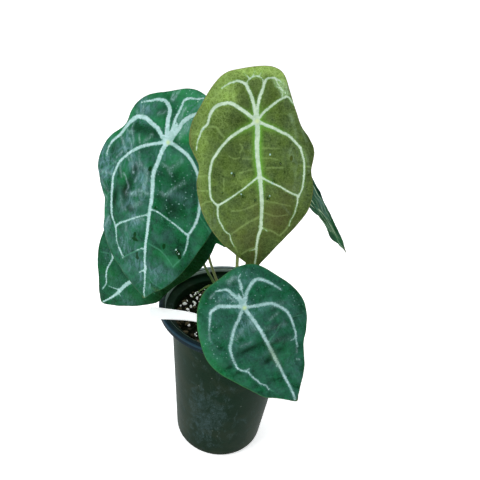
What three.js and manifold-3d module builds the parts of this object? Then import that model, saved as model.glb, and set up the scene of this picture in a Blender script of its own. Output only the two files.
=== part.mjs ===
// A velvety-leaved anthurium in a nursery pot: five pendent shield-shaped leaves on slender
// petioles, their crown, a bract, the potting mix, a plain plant label and the pot.
// Millimetres, +Z up. The origin is the centre of the pot's underside, and -Y is the front.
import * as THREE from 'three';
import { mergeVertices } from 'three/addons/utils/BufferGeometryUtils.js';
import Module from 'manifold-3d';

const wasm = await Module();
wasm.setup();

// Pot: a 165 mm nursery pot with a turned-down lip and a shallow inner step
const potHeight = 186;
const rimRadius = 82.5;
const lipDepth = 6.6;
const lipWall = 1.6;
const lipTaper = 0.4;
const lipBevel = 1.1;
const collarRadius = 77;
const collarDepth = 9.5;
const mouthBevel = 0.8;
const ledgeSlope = 1;
const wallTopRadius = 68;
const baseRadius = 53;
const baseRounding = 5;
const baseSteps = 3;
const potWall = 1.8;
const floorThickness = 2.2;
const potSegments = 48;
const drainHoles = { count: 6, radius: 5, ring: 36, sides: 12 };

// Height at which the floor turns into the wall on the inside
const floorTurn = 6;

// Clearance that every two touching pieces keep
const seat = 0.3;

// Potting mix, with its bark lumps inset from the wall
const soil = {
  level: 167, rings: 7, roughness: 1.3, lumps: 64, lumpSize: [1.7, 3.9], inset: 5, seed: 11,
};

// Crown: a short stem in its hole, with the petioles standing round its domed top
const crown = {
  x: 4, y: -4, radius: 10, foot: 140, footBevel: 3, shoulder: 171, segments: 20, domeSteps: 6,
};

// Blades
const bladeThickness = 0.9;
const bladeSectors = 48;
const bladeRings = 5;

// Petioles: a straight start out of the crown, a thicker foot that fades upwards, and a
// thicker neck where the blade bends down
const petioleSides = 8;
const petioleSteps = 24;
const rootRun = 5;
const footRadius = 2.0;
const footFade = 18;
const neckRadius = 1.9;
const neckLength = 14;

// Label strip
const label = { width: 18, thickness: 0.8, steps: 18, slotMargin: 0.4 };

// Each leaf hangs from the point where its veins meet. 'joint' is that point, 'faces' turns the
// blade's face from the front towards +X, 'tips' leans the face upwards and 'roll' swings the
// tip sideways, all in degrees. 'outline' runs round the blade from the drip tip, in mm to the
// right of and above the joint. The bends are curvatures per mm: 'bendDown' and 'bendUp' along
// the midrib below and above the joint, and 'cup' across it.
const leaves = {
  left: {
    joint: [-76, -25, 368], faces: -18, tips: 16, roll: -4,
    bendDown: 0.0018, bendUp: 0.006, cup: 0.003,
    wave: { height: 1.6, count: 5, phase: 0.6 },
    outline: [
      [3, -158], [-1, -154], [-13, -147], [-27, -136], [-42, -124], [-54, -105], [-56, -88],
      [-58, -71], [-66, -55], [-71, -38], [-68, -21], [-61, -9], [-50, 3], [-46, 16],
      [-41, 26], [-31, 35], [-17, 41], [0, 48], [14, 49], [28, 43], [40, 29], [48, 13],
      [55, -4], [60, -22], [61, -42], [58, -66], [50, -90], [43, -107], [35, -122],
      [24, -137], [12, -148],
    ],
    petiole: { root: [200, 55], radius: 1.2, via: [[-32, -3, 243], [-46, 4, 300], [-57, 16, 338]] },
    colour: 0x1c5a3c,
  },
  centre: {
    joint: [-1, -45, 401], faces: 4, tips: 12, roll: 5,
    bendDown: 0.0014, bendUp: 0.005, cup: 0.002,
    wave: { height: 1.0, count: 4, phase: 2.1 },
    outline: [
      [2, -132], [-5, -125], [-15, -117], [-27, -106], [-38, -91], [-46, -73], [-49, -54],
      [-47, -39], [-52, -27], [-55, -18], [-53, -4], [-45, 11], [-36, 26], [-26, 36],
      [-12, 40], [3, 42], [14, 41], [21, 36], [26, 24], [31, 10], [37, -4], [44, -13],
      [49, -24], [48, -40], [51, -57], [48, -75], [37, -91], [25, -105], [12, -121],
    ],
    petiole: { root: [280, 82], radius: 1.45, via: [[-2.5, -6, 250], [-4, -14, 335]] },
    colour: 0x6f8a3c,
  },
  low: {
    joint: [-73, -2, 296], faces: -10, tips: 13, roll: -20,
    bendDown: 0.0015, bendUp: 0.005, cup: 0.0035,
    wave: { height: 1.2, count: 5, phase: 4.0 },
    outline: [
      [-26, -148], [-33, -138], [-41, -120], [-49, -103], [-55, -85], [-57, -66],
      [-58, -44], [-56, -18], [-50, 6], [-40, 27], [-26, 41], [-8, 46], [10, 45],
      [28, 40], [42, 26], [51, 6], [57, -24], [55, -42], [49, -59], [40, -77],
      [35, -92], [31, -106], [19, -119], [3, -132], [-14, -143],
    ],
    petiole: { root: [150, 45], radius: 1.1, via: [[-38, 4, 231], [-57, 16, 268]] },
    colour: 0x16452c,
  },
  front: {
    joint: [9, -92, 250], faces: 12, tips: 22, roll: 30,
    bendDown: 0.0015, bendUp: 0.006, cup: 0.003,
    wave: { height: 1.4, count: 4, phase: 1.2 },
    outline: [
      [4, -107], [-3, -101], [-12, -93], [-20, -87], [-27, -77], [-37, -61], [-46, -45],
      [-50, -29], [-48, -12], [-43, 5], [-34, 20], [-22, 29], [-9, 32], [6, 34],
      [19, 32], [30, 25], [39, 11], [47, -4], [51, -20], [49, -35], [42, -48],
      [33, -60], [25, -78], [15, -92], [8, -101],
    ],
    petiole: { root: [285, 45], radius: 1.25, via: [[7, -40, 221], [7, -66, 238]] },
    colour: 0x1f6a42,
  },
  right: {
    joint: [26, 41, 352], faces: 85, tips: 46, roll: 4,
    bendDown: 0.001, bendUp: 0.005, cup: -0.0025,
    wave: { height: 1.5, count: 5, phase: 4.9 },
    outline: [
      [-5, -134], [-9, -127], [-16, -117], [-22, -103], [-26, -89], [-33, -74], [-44, -56],
      [-52, -35], [-48, -12], [-36, 14], [-24, 33], [-8, 40], [8, 40], [24, 33], [36, 16],
      [43, -8], [45, -32], [42, -56], [35, -77], [28, -96], [19, -112], [8, -124], [0, -130],
    ],
    petiole: { root: [50, 60], radius: 1.05, via: [[8, 8, 240], [11, 28, 300]] },
    colour: 0x1c5238,
  },
};

// The bract arches out of the crown over the mix, and narrows to a point
const bract = {
  root: [178, 18],
  via: [[-16, -3, 195], [-27, 2, 205], [-38, 5, 196], [-48, 6, 182.5]],
  width: 3.6, depth: 1.5, tip: 0.35, taper: 0.7, steps: 16, sides: 8, colour: 0x5f8f34,
};

// The label's centre line from its free end over the rim and down into the mix
const labelLine = [
  [-86, -39, 190.2], [-74, -37, 188.8], [-60, -34.5, 187.0], [-46, -31.5, 184.0],
  [-34, -29, 179.4], [-24, -27, 172.0], [-17, -26, 162.0], [-13, -25.5, 151.0],
];

const radians = THREE.MathUtils.degToRad;
const vector = ([x, y, z]) => new THREE.Vector3(x, y, z);

function material(colour, roughness) {
  return new THREE.MeshStandardMaterial({ color: colour, roughness, metalness: 0 });
}

function indexed(positions, triangles) {
  const geometry = new THREE.BufferGeometry();
  geometry.setAttribute('position', new THREE.Float32BufferAttribute(positions, 3));
  geometry.setIndex(triangles);
  geometry.computeVertexNormals();
  return geometry;
}

function toSolid(geometry) {
  const bare = geometry.clone();
  bare.deleteAttribute('normal');
  bare.deleteAttribute('uv');
  const merged = mergeVertices(bare, 1e-4);
  return new wasm.Manifold(new wasm.Mesh({
    numProp: 3,
    vertProperties: new Float32Array(merged.attributes.position.array),
    triVerts: new Uint32Array(merged.index.array),
  }));
}

function fromSolid(solid) {
  const mesh = solid.getMesh();
  return indexed(Array.from(mesh.vertProperties), Array.from(mesh.triVerts));
}

// A lathe profile of [radius, height] pairs from the axis round to the axis, turned to +Z
function turned(profile, segments) {
  const points = profile.map(([radius, height]) => new THREE.Vector2(radius, height));
  return new THREE.LatheGeometry(points, segments).rotateX(Math.PI / 2);
}

function cylinderAt(x, y, low, high, radius, sides) {
  const rod = new THREE.CylinderGeometry(radius, radius, high - low, sides);
  return rod.rotateX(Math.PI / 2).translate(x, y, (low + high) / 2);
}

// A small repeatable random source, so every run draws the same lumps
function randomSource(seed) {
  let state = seed;
  return () => {
    state = (state * 16807) % 2147483647;
    return state / 2147483647;
  };
}

// Joins rings of equal count into a closed tube with flat ends
function tubeFromRings(rings) {
  const count = rings[0].length;
  const positions = rings.flat().flatMap((point) => [point.x, point.y, point.z]);
  const triangles = [];
  for (let ring = 0; ring < rings.length - 1; ring++) {
    for (let side = 0; side < count; side++) {
      const next = (side + 1) % count;
      const a = ring * count + side;
      const b = ring * count + next;
      const c = a + count;
      const d = b + count;
      triangles.push(a, b, d, a, d, c);
    }
  }
  const last = (rings.length - 1) * count;
  for (let side = 1; side < count - 1; side++) {
    triangles.push(0, side + 1, side);
    triangles.push(last, last + side, last + side + 1);
  }
  return indexed(positions, triangles);
}

// Radius of the pot's outer wall at a height
function wallRadius(height) {
  const top = potHeight - collarDepth;
  const share = (height - baseRounding) / (top - baseRounding);
  return baseRadius + (wallTopRadius - baseRadius) * share;
}

function makePot() {
  const top = potHeight;
  const ledge = top - collarDepth;
  const foot = baseRadius - baseRounding;
  const insideLip = rimRadius - lipWall;
  const insideCollar = collarRadius - potWall;
  const rounding = [];
  for (let step = 0; step <= baseSteps; step++) {
    const angle = (step / baseSteps) * Math.PI / 2;
    rounding.push([foot + baseRounding * Math.sin(angle), baseRounding * (1 - Math.cos(angle))]);
  }
  const profile = [
    [0, 0],
    ...rounding,
    [wallTopRadius, ledge - potWall],
    [collarRadius, ledge - potWall + ledgeSlope],
    [collarRadius, top - lipWall],
    [insideLip, top - lipWall],
    [insideLip, top - lipDepth],
    [rimRadius - lipTaper, top - lipDepth],
    [rimRadius, top - lipBevel],
    [rimRadius - lipBevel, top],
    [insideCollar + mouthBevel, top],
    [insideCollar, top - mouthBevel],
    [insideCollar, ledge + ledgeSlope],
    [wallTopRadius - potWall, ledge],
    [wallRadius(floorTurn) - potWall, floorTurn],
    [foot, floorThickness],
    [0, floorThickness],
  ];
  let body = toSolid(turned(profile, potSegments));
  for (let hole = 0; hole < drainHoles.count; hole++) {
    const angle = (hole + 0.5) * 2 * Math.PI / drainHoles.count;
    const x = drainHoles.ring * Math.cos(angle);
    const y = drainHoles.ring * Math.sin(angle);
    const bit = cylinderAt(x, y, -seat, floorThickness + seat, drainHoles.radius, drainHoles.sides);
    body = body.subtract(toSolid(bit));
  }
  return fromSolid(body);
}

// Height of the potting mix, without its lumps, at a place
function soilHeight(x, y) {
  const swell = Math.sin(x * 0.11 + 1.3) * Math.cos(y * 0.13 - 0.4);
  const grit = Math.sin(x * 0.47 + y * 0.31) * Math.sin(y * 0.53 - x * 0.22 + 2);
  return soil.level + soil.roughness * (0.6 * swell + 0.5 * grit);
}

function makeSoil() {
  const inside = (height) => wallRadius(height) - potWall - seat;
  const bottom = floorThickness + seat;
  const foot = baseRadius - baseRounding - 1;
  const lowRim = floorTurn + seat;
  const rings = [];
  for (const [radius, height] of [[foot, bottom], [inside(lowRim), lowRim]]) {
    rings.push(Array.from({ length: potSegments }, (_, side) => {
      const angle = side * 2 * Math.PI / potSegments;
      return new THREE.Vector3(radius * Math.cos(angle), radius * Math.sin(angle), height);
    }));
  }
  const topRadius = inside(soil.level + 1);
  for (let ring = soil.rings; ring > 0; ring--) {
    rings.push(Array.from({ length: potSegments }, (_, side) => {
      const angle = side * 2 * Math.PI / potSegments;
      const radius = topRadius * ring / soil.rings;
      const x = radius * Math.cos(angle);
      const y = radius * Math.sin(angle);
      return new THREE.Vector3(x, y, soilHeight(x, y));
    }));
  }
  let body = toSolid(tubeFromRings(rings));
  const random = randomSource(soil.seed);
  for (let lump = 0; lump < soil.lumps; lump++) {
    const angle = random() * 2 * Math.PI;
    const radius = (topRadius - soil.inset) * Math.sqrt(random());
    const size = soil.lumpSize[0] + (soil.lumpSize[1] - soil.lumpSize[0]) * random() ** 2;
    const stretch = 0.7 + 0.6 * random();
    const x = radius * Math.cos(angle);
    const y = radius * Math.sin(angle);
    const stone = new THREE.IcosahedronGeometry(size, 0).scale(1, stretch, 0.75);
    stone.rotateX(random() * 0.8).rotateZ(random() * 6).translate(x, y, soilHeight(x, y) + 0.1);
    body = body.add(toSolid(stone));
  }
  const { x, y, radius, foot: crownFoot } = crown;
  const top = potHeight;
  const crownHole = cylinderAt(x, y, crownFoot - seat, top, radius + seat, crown.segments);
  const wider = 2 * label.slotMargin;
  const labelSlot = strip(label.width + wider, label.thickness + wider, label.slotMargin);
  body = body.subtract(toSolid(crownHole)).subtract(toSolid(labelSlot));
  return fromSolid(body);
}

const domeCentre = new THREE.Vector3(crown.x, crown.y, crown.shoulder);

// Unit vector of a compass angle from +X towards +Y and an elevation, in degrees
function direction([compass, elevation]) {
  const flat = Math.cos(radians(elevation));
  return new THREE.Vector3(
    flat * Math.cos(radians(compass)),
    flat * Math.sin(radians(compass)),
    Math.sin(radians(elevation)),
  );
}

function makeCrown() {
  const profile = [
    [0, crown.foot],
    [crown.radius - crown.footBevel, crown.foot],
    [crown.radius, crown.foot + crown.footBevel],
  ];
  for (let step = 0; step <= crown.domeSteps; step++) {
    const angle = (step / crown.domeSteps) * Math.PI / 2;
    const height = crown.shoulder + crown.radius * Math.sin(angle);
    profile.push([step === crown.domeSteps ? 0 : crown.radius * Math.cos(angle), height]);
  }
  return turned(profile, crown.segments).translate(crown.x, crown.y, 0);
}

// The blade's own axes: 'right' and 'up' along the blade, 'face' out of its upper side
function bladeFrame(leaf) {
  const turn = radians(leaf.faces);
  const lean = radians(leaf.tips);
  const roll = radians(leaf.roll);
  const face = new THREE.Vector3(
    Math.sin(turn) * Math.cos(lean), -Math.cos(turn) * Math.cos(lean), Math.sin(lean));
  const fall = new THREE.Vector3(
    Math.sin(turn) * Math.sin(lean), -Math.cos(turn) * Math.sin(lean), -Math.cos(lean));
  const across = new THREE.Vector3().crossVectors(face, fall);
  const down = fall.clone().multiplyScalar(Math.cos(roll)).addScaledVector(across, Math.sin(roll));
  const right = across.multiplyScalar(Math.cos(roll)).addScaledVector(fall, -Math.sin(roll));
  return { joint: vector(leaf.joint), right, up: down.negate(), face };
}

// How far the blade stands off its own plane at (right, up), at a share of the way to the margin
function bladeLift(leaf, right, up, share) {
  const along = up < 0 ? leaf.bendDown : leaf.bendUp;
  const { height, count, phase } = leaf.wave;
  const wave = height * share ** 2 * Math.sin(count * Math.atan2(right, -up) + phase);
  return wave - along * up ** 2 / 2 - leaf.cup * right ** 2 / 2;
}

function makeBlade(leaf) {
  const frame = bladeFrame(leaf);
  const ring = leaf.outline.map(([right, up]) => new THREE.Vector3(right, up, 0));
  const margin = new THREE.CatmullRomCurve3(ring, true, 'catmullrom', 0.5);
  const rim = margin.getSpacedPoints(bladeSectors).slice(0, bladeSectors);
  const place = (right, up, share, offset) => frame.joint.clone()
    .addScaledVector(frame.right, right)
    .addScaledVector(frame.up, up)
    .addScaledVector(frame.face, bladeLift(leaf, right, up, share) + offset);
  const positions = [];
  const triangles = [];
  const faceSize = 1 + bladeRings * bladeSectors;
  for (const offset of [bladeThickness / 2, -bladeThickness / 2]) {
    positions.push(...place(0, 0, 0, offset));
    for (let step = 1; step <= bladeRings; step++) {
      const share = step / bladeRings;
      for (const point of rim) {
        positions.push(...place(point.x * share, point.y * share, share, offset));
      }
    }
  }
  for (let sector = 0; sector < bladeSectors; sector++) {
    const next = (sector + 1) % bladeSectors;
    const cells = [[0, 1 + next, 1 + sector]];
    for (let step = 1; step < bladeRings; step++) {
      const inner = 1 + (step - 1) * bladeSectors;
      const outer = inner + bladeSectors;
      cells.push([inner + sector, inner + next, outer + next]);
      cells.push([inner + sector, outer + next, outer + sector]);
    }
    for (const [a, b, c] of cells) {
      triangles.push(a, b, c);
      triangles.push(faceSize + a, faceSize + c, faceSize + b);
    }
    const edge = 1 + (bladeRings - 1) * bladeSectors;
    const a = edge + sector;
    const b = edge + next;
    triangles.push(a, b, faceSize + a, b, faceSize + b, faceSize + a);
  }
  return indexed(positions, triangles);
}

// Sweeps a round or oval section along a curve, sized at each share of its length
function sweep(curve, steps, sides, sizeAt) {
  const frames = curve.computeFrenetFrames(steps, false);
  const rings = [];
  for (let step = 0; step <= steps; step++) {
    const centre = curve.getPointAt(step / steps);
    const [wide, deep] = sizeAt(step / steps);
    rings.push(Array.from({ length: sides }, (_, side) => {
      const angle = side * 2 * Math.PI / sides;
      return centre.clone()
        .addScaledVector(frames.normals[step], wide * Math.cos(angle))
        .addScaledVector(frames.binormals[step], deep * Math.sin(angle));
    }));
  }
  return tubeFromRings(rings);
}

function makePetiole(leaf) {
  const { joint, face } = bladeFrame(leaf);
  const root = direction(leaf.petiole.root);
  const start = domeCentre.clone().addScaledVector(root, crown.radius + seat);
  const end = joint.clone().addScaledVector(face, -(bladeThickness / 2 + seat));
  const curve = new THREE.CatmullRomCurve3([
    start,
    start.clone().addScaledVector(root, rootRun),
    ...leaf.petiole.via.map(vector),
    end.clone().addScaledVector(face, -neckLength),
    end.clone().addScaledVector(face, -neckLength / 3),
    end,
  ]);
  const length = curve.getLength();
  const sizeAt = (share) => {
    const slim = leaf.petiole.radius;
    const foot = (footRadius - slim) * Math.exp(-share * length / footFade);
    const neck = (neckRadius - slim) * Math.exp(-(((1 - share) * length / neckLength) ** 2));
    return [slim + foot + neck, slim + foot + neck];
  };
  return sweep(curve, petioleSteps, petioleSides, sizeAt);
}

function makeBract() {
  const root = direction(bract.root);
  const start = domeCentre.clone().addScaledVector(root, crown.radius + seat);
  const curve = new THREE.CatmullRomCurve3([
    start,
    start.clone().addScaledVector(root, rootRun),
    ...bract.via.map(vector),
  ]);
  const sizeAt = (share) => {
    const taper = (1 - share) ** bract.taper;
    return [bract.depth / 2 * taper + bract.tip, bract.width / 2 * taper + bract.tip];
  };
  return sweep(curve, bract.steps, bract.sides, sizeAt);
}

// The label's strip, or a larger strip for its slot, drawn along the label's centre line
function strip(width, thickness, extra) {
  const curve = new THREE.CatmullRomCurve3(labelLine.map(vector));
  const rings = [];
  for (let step = 0; step <= label.steps; step++) {
    const share = step / label.steps;
    const centre = curve.getPointAt(share);
    const along = curve.getTangentAt(share);
    const side = new THREE.Vector3(-along.y, along.x, 0).normalize();
    const up = new THREE.Vector3().crossVectors(along, side).normalize();
    const push = share === 1 ? extra : 0;
    rings.push([[1, 1], [-1, 1], [-1, -1], [1, -1]].map(([across, lift]) => centre.clone()
      .addScaledVector(along, push)
      .addScaledVector(side, across * width / 2)
      .addScaledVector(up, lift * thickness / 2)));
  }
  return tubeFromRings(rings);
}

const plant = new THREE.Group();

function add(name, geometry, finish, parent = plant) {
  const mesh = new THREE.Mesh(geometry, finish);
  mesh.name = name;
  parent.add(mesh);
}

add('pot', makePot(), material(0x2a302f, 0.6));
add('soil', makeSoil(), material(0x2a2119, 0.95));
add('crown', makeCrown(), material(0x6a6a3a, 0.8));
add('label', strip(label.width, label.thickness, 0), material(0xf4f5f3, 0.4));
add('bract', makeBract(), material(bract.colour, 0.5));
for (const [name, leaf] of Object.entries(leaves)) {
  const branch = new THREE.Group();
  add(`leaf_${name}`, makeBlade(leaf), material(leaf.colour, 0.45), branch);
  add(`petiole_${name}`, makePetiole(leaf), material(0x6b7a38, 0.5), branch);
  plant.add(branch);
}

export default plant;
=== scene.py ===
import math

import bmesh
import bpy
import numpy as np
from mathutils import Matrix, Vector


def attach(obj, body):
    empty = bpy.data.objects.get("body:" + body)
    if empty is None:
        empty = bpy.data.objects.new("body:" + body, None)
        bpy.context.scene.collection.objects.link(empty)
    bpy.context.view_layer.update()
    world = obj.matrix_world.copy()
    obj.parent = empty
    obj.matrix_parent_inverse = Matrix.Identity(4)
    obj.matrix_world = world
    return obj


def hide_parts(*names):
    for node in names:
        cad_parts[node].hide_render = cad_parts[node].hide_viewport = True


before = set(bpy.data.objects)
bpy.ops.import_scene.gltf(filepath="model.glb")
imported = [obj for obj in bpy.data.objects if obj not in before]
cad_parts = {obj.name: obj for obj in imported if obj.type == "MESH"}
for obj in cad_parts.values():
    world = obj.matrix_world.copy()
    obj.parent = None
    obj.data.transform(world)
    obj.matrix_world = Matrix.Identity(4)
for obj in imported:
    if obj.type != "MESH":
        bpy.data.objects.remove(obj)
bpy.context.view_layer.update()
mm = 0.001  # sizes below are in millimetres, Blender's are in metres
circle = 2 * math.pi


# Curves, meshes and small helpers

def splinePoints(points, closed=False, centripetal=False, perSpan=24):
    points = np.asarray(points, float)
    if closed:
        padded = np.vstack([points[-1], points, points[0], points[1]])
    else:
        padded = np.vstack([2 * points[0] - points[1], points, 2 * points[-1] - points[-2]])
    t = np.arange(perSpan)[:, None] / perSpan
    spans = []
    for i in range(len(padded) - 3):
        a, b, c, d = padded[i:i + 4]
        if centripetal:
            ab, bc, cd = [np.linalg.norm(q - p) ** 0.5 for p, q in ((a, b), (b, c), (c, d))]
            start = ((b - a) / ab - (c - a) / (ab + bc) + (c - b) / bc) * bc
            end = ((c - b) / bc - (d - b) / (bc + cd) + (d - c) / cd) * bc
        else:
            start, end = (c - a) / 2, (d - b) / 2
        bend = 3 * (c - b) - 2 * start - end
        twist = 2 * (b - c) + start + end
        spans.append(b + start * t + bend * t ** 2 + twist * t ** 3)
    if not closed:
        spans.append(points[-1:])
    return np.vstack(spans)


def runLength(points):
    steps = np.linalg.norm(np.diff(points, axis=0), axis=1)
    return np.concatenate([[0], np.cumsum(steps)])


def evenly(points, count, closed=False):
    if closed:
        points = np.vstack([points, points[:1]])
    along = runLength(points)
    wanted = np.linspace(0, along[-1], count, endpoint=not closed)
    return np.column_stack([np.interp(wanted, along, column) for column in points.T])


def unit(vectors):
    return vectors / np.linalg.norm(vectors, axis=-1, keepdims=True)


def roundAngles(count):
    return np.arange(count) * circle / count


def smooth(value, low, high):
    t = np.clip((value - low) / (high - low), 0, 1)
    return t * t * (3 - 2 * t)


def ripples(x, y, size, seed, waves=12):  # a soft random field, about -1 to 1
    total = np.zeros_like(x)
    for turn, phase, stretch in np.random.default_rng(seed).random((waves, 3)):
        pace = circle / (size * (0.65 + 0.8 * stretch))
        across = x * math.cos(circle * turn) + y * math.sin(circle * turn)
        total += np.sin(pace * across + circle * phase)
    return total / math.sqrt(waves)


def spots(u, v, blobs):  # the sum of soft oval patches of (u, v, half width, half height, strength)
    total = np.zeros_like(u)
    for x, y, wide, tall, strength in blobs:
        total += strength * np.exp(-((u - x) / wide) ** 2 - ((v - y) / tall) ** 2)
    return total


def plainMesh(name, points, faces, materials=(), smoothed=True):
    mesh = bpy.data.meshes.new(name)
    mesh.from_pydata((np.asarray(points) * mm).tolist(), [], [list(map(int, f)) for f in faces])
    for material in materials:
        mesh.materials.append(material)
    mesh.polygons.foreach_set("use_smooth", np.full(len(mesh.polygons), smoothed))
    piece = bpy.data.objects.new(name, mesh)
    bpy.context.collection.objects.link(piece)
    return piece


def meshPiece(name, points, faces, materials, smoothed=True, faceMaterials=None, rows=None):
    piece = plainMesh(name, points, faces, materials, smoothed)
    mesh = piece.data
    if faceMaterials is not None:
        mesh.polygons.foreach_set("material_index", np.asarray(faceMaterials, np.int32))
    for key, values in (rows or {}).items():
        values = np.asarray(values, np.float32)
        kind, field = ("FLOAT", "value") if values.ndim == 1 else ("FLOAT_VECTOR", "vector")
        mesh.attributes.new(key, kind, "POINT").data.foreach_set(field, values.ravel())
    mesh.update()
    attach(piece, "root")
    return piece


def sheetQuads(index):
    quads = np.stack([index[:-1, :-1], index[1:, :-1], index[1:, 1:], index[:-1, 1:]], axis=-1)
    return quads.reshape(-1, 4)


def sheetBorder(index):
    return np.concatenate([index[0, :-1], index[:-1, -1], index[-1, :0:-1], index[:0:-1, 0]])


def strip(upper, lower):  # faces between two closed loops of points
    return np.stack([upper, np.roll(upper, -1), np.roll(lower, -1), lower], -1).tolist()


def ringFaces(rings, sides):  # the numbers of the points on a pile of rings, and the faces between them
    index = np.arange(rings * sides).reshape(rings, sides)
    after = np.roll(index, -1, axis=1)
    quads = np.stack([index[:-1], after[:-1], after[1:], index[1:]], axis=-1)
    return index, quads.reshape(-1, 4).tolist()


def gridPlaces(rim, centre, across, along):
    # a rectangular net of points pushed out to fill a rim, with the rim's first point at bottom middle
    i, j = np.meshgrid(np.arange(-across, across + 1), np.arange(-along, along + 1), indexing="ij")
    a, b = i / across, j / along
    share = np.maximum(np.abs(a), np.abs(b))
    safe = np.where(share == 0, 1, share)
    a, b = a / safe, b / safe
    edge = 1 - 1e-9
    turn = np.select(
        [(b <= -edge) & (a <= 0), a <= -edge, b >= edge, a >= edge],
        [-a * across, across + (b + 1) * along, across + 2 * along + (a + 1) * across,
         3 * across + 2 * along + (1 - b) * along],
        3 * across + 4 * along + (1 - a) * across)
    count = 4 * (across + along)
    looped = np.vstack([rim, rim[:1]])
    rimX, rimY = [np.interp(turn % count, np.arange(count + 1), column) for column in looped.T]
    x = centre[0] + share * (rimX - centre[0])
    y = centre[1] + share * (rimY - centre[1])
    return x.ravel(), y.ravel()


def gridFaces(across, along):
    rows, columns = 2 * across + 1, 2 * along + 1
    index = np.arange(rows * columns).reshape(rows, columns)
    loop = np.concatenate([index[::-1, 0][across:], index[0, 1:], index[1:, -1],
                           index[-1, ::-1][1:], index[::-1, 0][1:across + 1]])
    return sheetQuads(index), loop[:-1]


# Shader helpers

def feed(tree, node, values):  # links each socket it is given, and sets each plain value
    for name, value in values.items():
        socket = node.inputs[name]
        if isinstance(value, bpy.types.NodeSocket):
            tree.links.new(value, socket)
        else:
            socket.default_value = (*value, 1) if socket.type == "RGBA" else value


def put(tree, kind, values=None, **settings):
    node = tree.nodes.new(kind)
    for key, value in settings.items():
        setattr(node, key, value)
    feed(tree, node, values or {})
    return node


def sums(tree, operation, first, second=0.0, third=0.0, clamp=False):
    return put(tree, "ShaderNodeMath", {0: first, 1: second, 2: third},
               operation=operation, use_clamp=clamp).outputs[0]


def times(tree, first, second):
    return sums(tree, "MULTIPLY", first, second)


def scaled(tree, value, factor, offset, clamp=False):
    return sums(tree, "MULTIPLY_ADD", value, factor, offset, clamp)


def ramp(tree, value, low, high, toLow=0.0, toHigh=1.0):
    values = {0: value, 1: low, 2: high, 3: toLow, 4: toHigh}
    return put(tree, "ShaderNodeMapRange", values, interpolation_type="SMOOTHSTEP").outputs[0]


def blend(tree, share, first, second):
    return put(tree, "ShaderNodeMix", {0: share, 6: first, 7: second}, data_type="RGBA",
               clamp_factor=True).outputs[2]


def layers(tree, colour, *rows):  # lays tones over a colour, each by a mask and a share
    for mask, share, shade in rows:
        colour = blend(tree, times(tree, mask, share), colour, shade)
    return colour


def vectors(tree, operation, *values, output=0):
    feeds = dict(enumerate(values))
    return put(tree, "ShaderNodeVectorMath", feeds, operation=operation).outputs[output]


def stretchPlace(tree, place, scale):
    return vectors(tree, "MULTIPLY", place, scale)


def noise(tree, place, scale, detail=3.0, distortion=0.0, roughness=0.5, output=0):
    values = {"Vector": place, "Scale": scale, "Detail": detail, "Distortion": distortion,
              "Roughness": roughness}
    return put(tree, "ShaderNodeTexNoise", values).outputs[output]


def shaderGroup(name, inputs, outputs):
    group = bpy.data.node_groups.new(name, "ShaderNodeTree")
    for label, value in inputs.items():
        kind = "NodeSocketVector" if value is None else "NodeSocketFloat"
        socket = group.interface.new_socket(label, in_out="INPUT", socket_type=kind)
        if value is not None:
            socket.default_value = value
    for label in outputs:
        group.interface.new_socket(label, in_out="OUTPUT", socket_type="NodeSocketFloat")
    come, go = group.nodes.new("NodeGroupInput"), group.nodes.new("NodeGroupOutput")
    return group, [come.outputs[label] for label in inputs], go


def useGroup(tree, group, output, **values):
    return put(tree, "ShaderNodeGroup", values, node_tree=group).outputs[output]


def makeEdgeGroup():  # turns a distance from a drawn edge into a mask with a feathered border
    inputs = {"Edge": 0, "Place": None, "Ragged": 0.4, "Soft": 0.3}
    group, (edge, place, ragged, soft), go = shaderGroup("feathered edge", inputs, ["Mask"])
    coarse, fine = [sums(group, "SUBTRACT", noise(group, place, scale, detail), 0.5)
                    for scale, detail in ((0.55, 3), (1.5, 2))]
    wander = sums(group, "ADD", coarse, times(group, fine, 1.2))
    edge = scaled(group, wander, ragged, edge)
    feed(group, go, {"Mask": ramp(group, edge, soft, times(group, soft, -1.0))})
    return group


def makeMottleGroup():  # soft patches of a given size
    inputs = {"Place": None, "Size": 10, "Contrast": 2}
    group, (place, size, contrast), go = shaderGroup("mottle", inputs, ["Value"])
    value = noise(group, place, sums(group, "DIVIDE", 1.0, size), 4, 0.6)
    centred = sums(group, "SUBTRACT", value, 0.5)
    feed(group, go, {"Value": scaled(group, centred, contrast, 0.5, clamp=True)})
    return group


def makeNetGroup():  # the fine net of veins between the main ones
    inputs = {"Place": None, "Size": 5, "Width": 0.25}
    group, (place, size, width), go = shaderGroup("vein net", inputs, ["Mask"])
    wobble = noise(group, place, 0.3, 2.0, output="Color")
    moved = vectors(group, "MULTIPLY_ADD", wobble, (3.5, 3.5, 3.5), place)
    masks = []
    for share in (1.0, 0.42):
        mesh = times(group, size, share)
        values = {"Vector": moved, "Scale": sums(group, "DIVIDE", 1.0, mesh)}
        cell = put(group, "ShaderNodeTexVoronoi", values, feature="DISTANCE_TO_EDGE")
        masks.append(ramp(group, times(group, cell.outputs["Distance"], mesh), width, 0.0))
    feed(group, go, {"Mask": sums(group, "MAXIMUM", masks[0], times(group, masks[1], 0.55))})
    return group


def makeSpeckGroup():  # scattered round specks
    inputs = {"Place": None, "Spacing": 4, "Radius": 0.5, "Share": 0.3}
    group, (place, spacing, radius, share), go = shaderGroup("specks", inputs, ["Mask"])
    scale = sums(group, "DIVIDE", 1.0, spacing)
    cell = put(group, "ShaderNodeTexVoronoi", {"Vector": place, "Scale": scale})
    gap = times(group, cell.outputs["Distance"], spacing)
    pick = put(group, "ShaderNodeSeparateColor", {0: cell.outputs["Color"]})
    wanted = sums(group, "LESS_THAN", pick.outputs[0], share)
    radius = times(group, radius, scaled(group, pick.outputs[1], 0.8, 0.4))
    dot = ramp(group, gap, radius, times(group, radius, 0.5))
    feed(group, go, {"Mask": times(group, dot, wanted)})
    return group


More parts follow.
